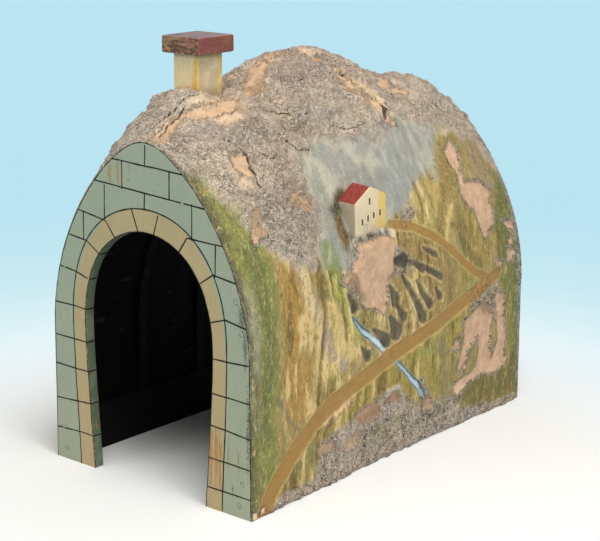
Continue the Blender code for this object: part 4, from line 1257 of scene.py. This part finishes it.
# Cream gable turning yellow to its right, greyish sides, a red roof and a bare pink patch near the ground.
def housePaint():
    finish = Finish("house_distemper", roughness=0.55)
    noise, step, read = finish.noise, finish.step, finish.attribute
    across, up, deep = (read(key) for key in ("across", "up", "deep"))
    wobble = noise(2.2, 3) - 0.5
    fine = noise(0.8, 3, stretch=(1, 1, 3), roughness=0.6)
    gable = finish.layer(step(across + wobble * 4 - up * 0.1, 2.6, 6.0), (208, 189, 156), (214, 180, 100))
    bare = step(1.9 - finish.maths("ABSOLUTE", across - 1.9) + wobble * 2.5, 0.0, 0.5)
    bare = bare * step(1.7 - finish.maths("ABSOLUTE", up - 2.4) + wobble * 2, 0.0, 0.5)
    gable = finish.layer(bare * 0.8, gable, (212, 164, 138))
    side = finish.layer(step(deep + wobble * 2, -8.5, -11.5), (188, 174, 150), (208, 194, 164))
    finish.color = finish.layer(step(deep, -0.2, -0.5), gable, side)
    finish.lay(step(fine, 0.58, 0.72) * 0.3, (146, 126, 92))
    # Darker along the bottom, where the house sits on the hill: painted shade.
    finish.lay(step(up + wobble * 2.5, 1.6, 0.2) * 0.5, (176, 160, 132))
    red = finish.layer(step(noise(1.4, 3), 0.35, 0.68), (124, 40, 36), (152, 60, 50))
    roof = step(read("roofGap") + wobble * 0.35, -0.06, 0.06)
    finish.lay(roof, red)
    chips = step(noise(1.2, 2, shift=3.0), 0.7, 0.74)
    finish.lay(chips * 0.5, (120, 96, 70))
    finish.relief(fine * 0.14 + wobble * 0.1 + roof * 0.1)
    return finish.done(0.46 + fine * 0.25)


lining = {
    "foot": 66.6, "spring": (66.0, 72.0), "below": 20.0, "above": 54.0, "flat": 33.0, "top": 163.6,
    "footZ": 28.3,
    "thickness": 1.2, "rows": 150, "backRows": 12, "columns": 180,
    "wrinkle": 0.35, "wrinkleSize": 12.0, "wrinkleInset": 0.2, "calmEnd": 6.0,
}


# The arch carried along Y as one closed sheet with its own thickness, wrinkled by noise.
def makeLining():
    low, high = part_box("tunnel_lining")
    start, end = low.y / mm, high.y / mm
    outer = archLine(lining, lining["columns"], footZ=lining["footZ"])
    ahead = np.gradient(outer, axis=0)
    inward = np.column_stack([-ahead[:, 1], ahead[:, 0]]) / np.linalg.norm(ahead, axis=1)[:, None]
    inward *= np.sign(np.einsum("ij,ij->i", np.array([0.0, 60.0]) - outer, inward))[:, None]
    upright = lambda at, rows: np.stack(np.broadcast_arrays(at[:, None, 0], rows, at[:, None, 1]), axis=-1)
    y = np.linspace(start, end, lining["rows"])
    inside = upright(outer + inward * lining["thickness"], y)
    wrinkle = cloud(inside * np.array([1, 0.4, 1]), lining["wrinkleSize"], 701, 3) * lining["wrinkle"]
    wrinkle *= np.minimum(1, 0.2 + np.minimum(y - start, end - y) / lining["calmEnd"])
    inside = inside + upright(inward, 0.0) * (wrinkle - lining["wrinkleInset"])[..., None]
    outside = upright(outer, np.linspace(end, start, lining["backRows"]))
    # Black paint made darker than paint alone: black paint with painted shade inside the bore.
    finish = Finish("black_lining_paint_and_shade", roughness=0.7, specular=0.08)
    noise, step = finish.noise, finish.step
    wide, fine = noise(24.0, 4), noise(1.6, 3, roughness=0.65)
    finish.color = finish.layer(step(wide, 0.36, 0.68), (4, 4, 3), (10, 8, 7))
    finish.lay(step(fine, 0.66, 0.74) * 0.3, (70, 60, 50))
    finish.lay(step(noise(5.0, 3, stretch=(1, 4, 1), shift=5.0), 0.64, 0.7) * 0.3, (74, 64, 50))
    finish.relief(fine * 0.25 + wide * 0.6)
    makePiece("bore_lining", np.concatenate([inside, outside], axis=1), finish.done(0.42 + fine * 0.35),
              ("tunnel_lining",), sharp=60)


# Wood grain runs along Y; stain or black paint lies over it and is rubbed through in places.
def woodFinish(name, dark, light, worn, wornLevel, along=(1, 12, 1)):
    finish = Finish(name, roughness=0.6, specular=0.15)
    noise, step = finish.noise, finish.step
    grain = noise(1.3, 4, stretch=along, roughness=0.65)
    rings = noise(5.0, 2, stretch=along, shift=3.0)
    finish.color = finish.layer(step(grain, 0.36, 0.66), dark, light)
    finish.lay(step(rings, 0.5, 0.64) * 0.4, dark)
    rubbed = step(noise(4.0, 3, stretch=(1, 4, 1), shift=7.0) + (grain - 0.5) * 0.4, wornLevel,
                  wornLevel + 0.06)
    finish.lay(rubbed * 0.8, worn)
    finish.relief(grain * 0.3 + rings * 0.2 - rubbed * 0.1)
    return finish.done(0.5 + grain * 0.3)


def dressCadNodes():
    # The bore's battens, rails and hoops: black paint made darker still, painted shade inside the bore.
    painted = woodFinish("black_painted_pine_and_shade", (4, 4, 3), (10, 8, 7), (96, 66, 42), 0.72)
    strip = woodFinish("dark_hoop_strip", (5, 5, 4), (12, 11, 10), (70, 60, 48), 0.7, along=(6, 1, 6))
    for node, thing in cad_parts.items():
        if any(word in node for word in ("batten", "hoop", "ridge_board", "base_rail")):
            for slot in thing.material_slots:
                slot.material = strip if "hoop" in node else painted


makeChimney()
makeHouse()
makeLining()
dressCadNodes()
print("chimney, house, lining and wood made")


stage = {
    "rings": (0.1, 0.2, 0.35, 0.6, 1.0, 2.0, 4.0, 8.0, 14.0), "sides": 96,
    "center": (56.0, -70.0),
    # (distance from the centre in millimetres, colour)
    "stops": ((170, (247, 249, 248)), (241, (246, 251, 252)), (308, (234, 247, 250)), (398, (216, 239, 244)),
              (512, (199, 232, 241)), (659, (190, 228, 238)), (846, (184, 226, 240))),
    "glowFrom": 130.0, "glowTo": 360.0,
    "floorZ": -0.05,
    "coolPaper": (0.92, 0.96, 1.0),
    # the world is pale blue at the horizon and dim warm white above the given heights of its unit sphere
    "skyLow": (184, 226, 240), "skyHigh": (255, 246, 236), "skyHighStrength": 0.3, "skyFade": (0.04, 0.14),
}
studioLights = (
    # name, place, aimed at, size, strength in watts
    ("overhead_softbox", (0.5, -0.4, 1.25), (0.0, 0.0, 0.1), 0.7, 14.6),
    ("front_fill", (-0.5, -1.5, 0.75), (0.0, -0.1, 0.1), 0.9, 5.4),
    ("right_fill", (1.5, -0.25, 0.8), (0.05, 0.0, 0.1), 0.9, 8.8),
)
lampColor = (1.0, 0.94, 0.88)


# Rings of a flat disc; the colour stops are laid on each point by its distance from the centre.
def makeFloor():
    sides, height = stage["sides"], stage["floorZ"]
    radii = np.array(stage["rings"])[:, None] / mm
    around = np.arange(sides) / sides * 2 * np.pi
    rings = np.stack(np.broadcast_arrays(radii * np.cos(around), radii * np.sin(around), height), axis=-1)
    points = np.vstack([rings.reshape(-1, 3), [[0, 0, height]]])
    faces = gridFaces(len(radii), sides) + [[k, (k + 1) % sides, len(points) - 1] for k in range(sides)]
    mesh = bpy.data.meshes.new("studio_floor")
    mesh.from_pydata(points * mm, [], faces)
    finish = Finish("studio_floor_paper", roughness=0.85, specular=0.25)
    x, y = (finish.axis(letter) - shift for letter, shift in zip("XY", stage["center"]))
    gap = finish.maths("SQRT", x * x + y * y)
    finish.color = stage["stops"][0][1]
    for (near, _), (far, shade) in zip(stage["stops"], stage["stops"][1:]):
        amount = finish.value("ShaderNodeMapRange", {}, {0: gap, 1: float(near), 2: float(far), 3: 0.0,
                                                         4: 1.0})
        finish.lay(amount, shade)
    finish.lay(finish.noise(60.0, 3) * 0.02, (225, 230, 230))
    glow = finish.step(gap, stage["glowFrom"], stage["glowTo"])
    black = (0, 0, 0)
    finish.feed(finish.shader.inputs["Emission Color"], finish.layer(glow, black, finish.color))
    finish.shader.inputs["Emission Strength"].default_value = 1.0
    finish.relief(finish.noise(3.0, 2) * 0.02)
    cool = finish.value("ShaderNodeVectorMath", {"operation": "MULTIPLY"},
                        {0: finish.color, 1: stage["coolPaper"]})
    finish.color = finish.layer(glow, cool, black)
    mesh.materials.append(finish.done())
    floor = bpy.data.objects.new("studio_floor", mesh)
    bpy.context.scene.collection.objects.link(floor)


def makeLights():
    world = bpy.data.worlds.new("studio_world")
    world.use_nodes = True
    tree = world.node_tree
    apart = tree.nodes.new("ShaderNodeSeparateXYZ")
    rise = tree.nodes.new("ShaderNodeMapRange")
    sky = tree.nodes.new("ShaderNodeMix")
    sky.data_type = "RGBA"
    rise.inputs[1].default_value, rise.inputs[2].default_value = stage["skyFade"]
    sky.inputs[6].default_value = (*tint(*stage["skyLow"]), 1.0)
    high = [part * stage["skyHighStrength"] for part in tint(*stage["skyHigh"])]
    sky.inputs[7].default_value = (*high, 1.0)
    tree.links.new(tree.nodes.new("ShaderNodeTexCoord").outputs["Generated"], apart.inputs[0])
    tree.links.new(apart.outputs["Z"], rise.inputs[0])
    tree.links.new(rise.outputs[0], sky.inputs[0])
    tree.links.new(sky.outputs[2], tree.nodes["Background"].inputs["Color"])
    bpy.context.scene.world = world
    for name, place, target, size, power in studioLights:
        data = bpy.data.lights.new(name, "AREA")
        data.shape, data.size, data.energy = "SQUARE", size, power
        data.color = lampColor
        lamp = bpy.data.objects.new(name, data)
        lamp.location = place
        aim = np.array(target) - np.array(place)
        lamp.rotation_euler = (math.atan2(np.hypot(aim[0], aim[1]), -aim[2]), 0, math.atan2(-aim[0], aim[1]))
        bpy.context.scene.collection.objects.link(lamp)


camera = {"place": (508.5, -634.0, 287.1), "lens": 81.976, "sensor": 36.0, "near": 0.01, "far": 50.0,
          "yaw": 38.91, "pitch": 13.04, "roll": 0.558}


def makeCamera():
    data = bpy.data.cameras.new("studio_camera")
    data.lens, data.sensor_width = camera["lens"], camera["sensor"]
    data.clip_start, data.clip_end = camera["near"], camera["far"]
    yaw, pitch, roll = (math.radians(camera[key]) for key in ("yaw", "pitch", "roll"))
    ahead = np.array([-math.sin(yaw) * math.cos(pitch), math.cos(yaw) * math.cos(pitch), -math.sin(pitch)])
    side = np.array([math.cos(yaw), math.sin(yaw), 0.0])
    above = np.cross(side, ahead)
    view = np.eye(4)
    view[:3, 0] = math.cos(roll) * side + math.sin(roll) * above
    view[:3, 1] = math.cos(roll) * above - math.sin(roll) * side
    view[:3, 2] = -ahead
    view[:3, 3] = np.array(camera["place"]) * mm
    thing = bpy.data.objects.new("studio_camera", data)
    thing.matrix_world = Matrix(view.tolist())
    bpy.context.scene.collection.objects.link(thing)
    bpy.context.scene.camera = thing


makeFloor()
makeLights()
makeCamera()
bpy.context.scene.view_settings.view_transform = "Standard"
print("stage, lights and camera made")
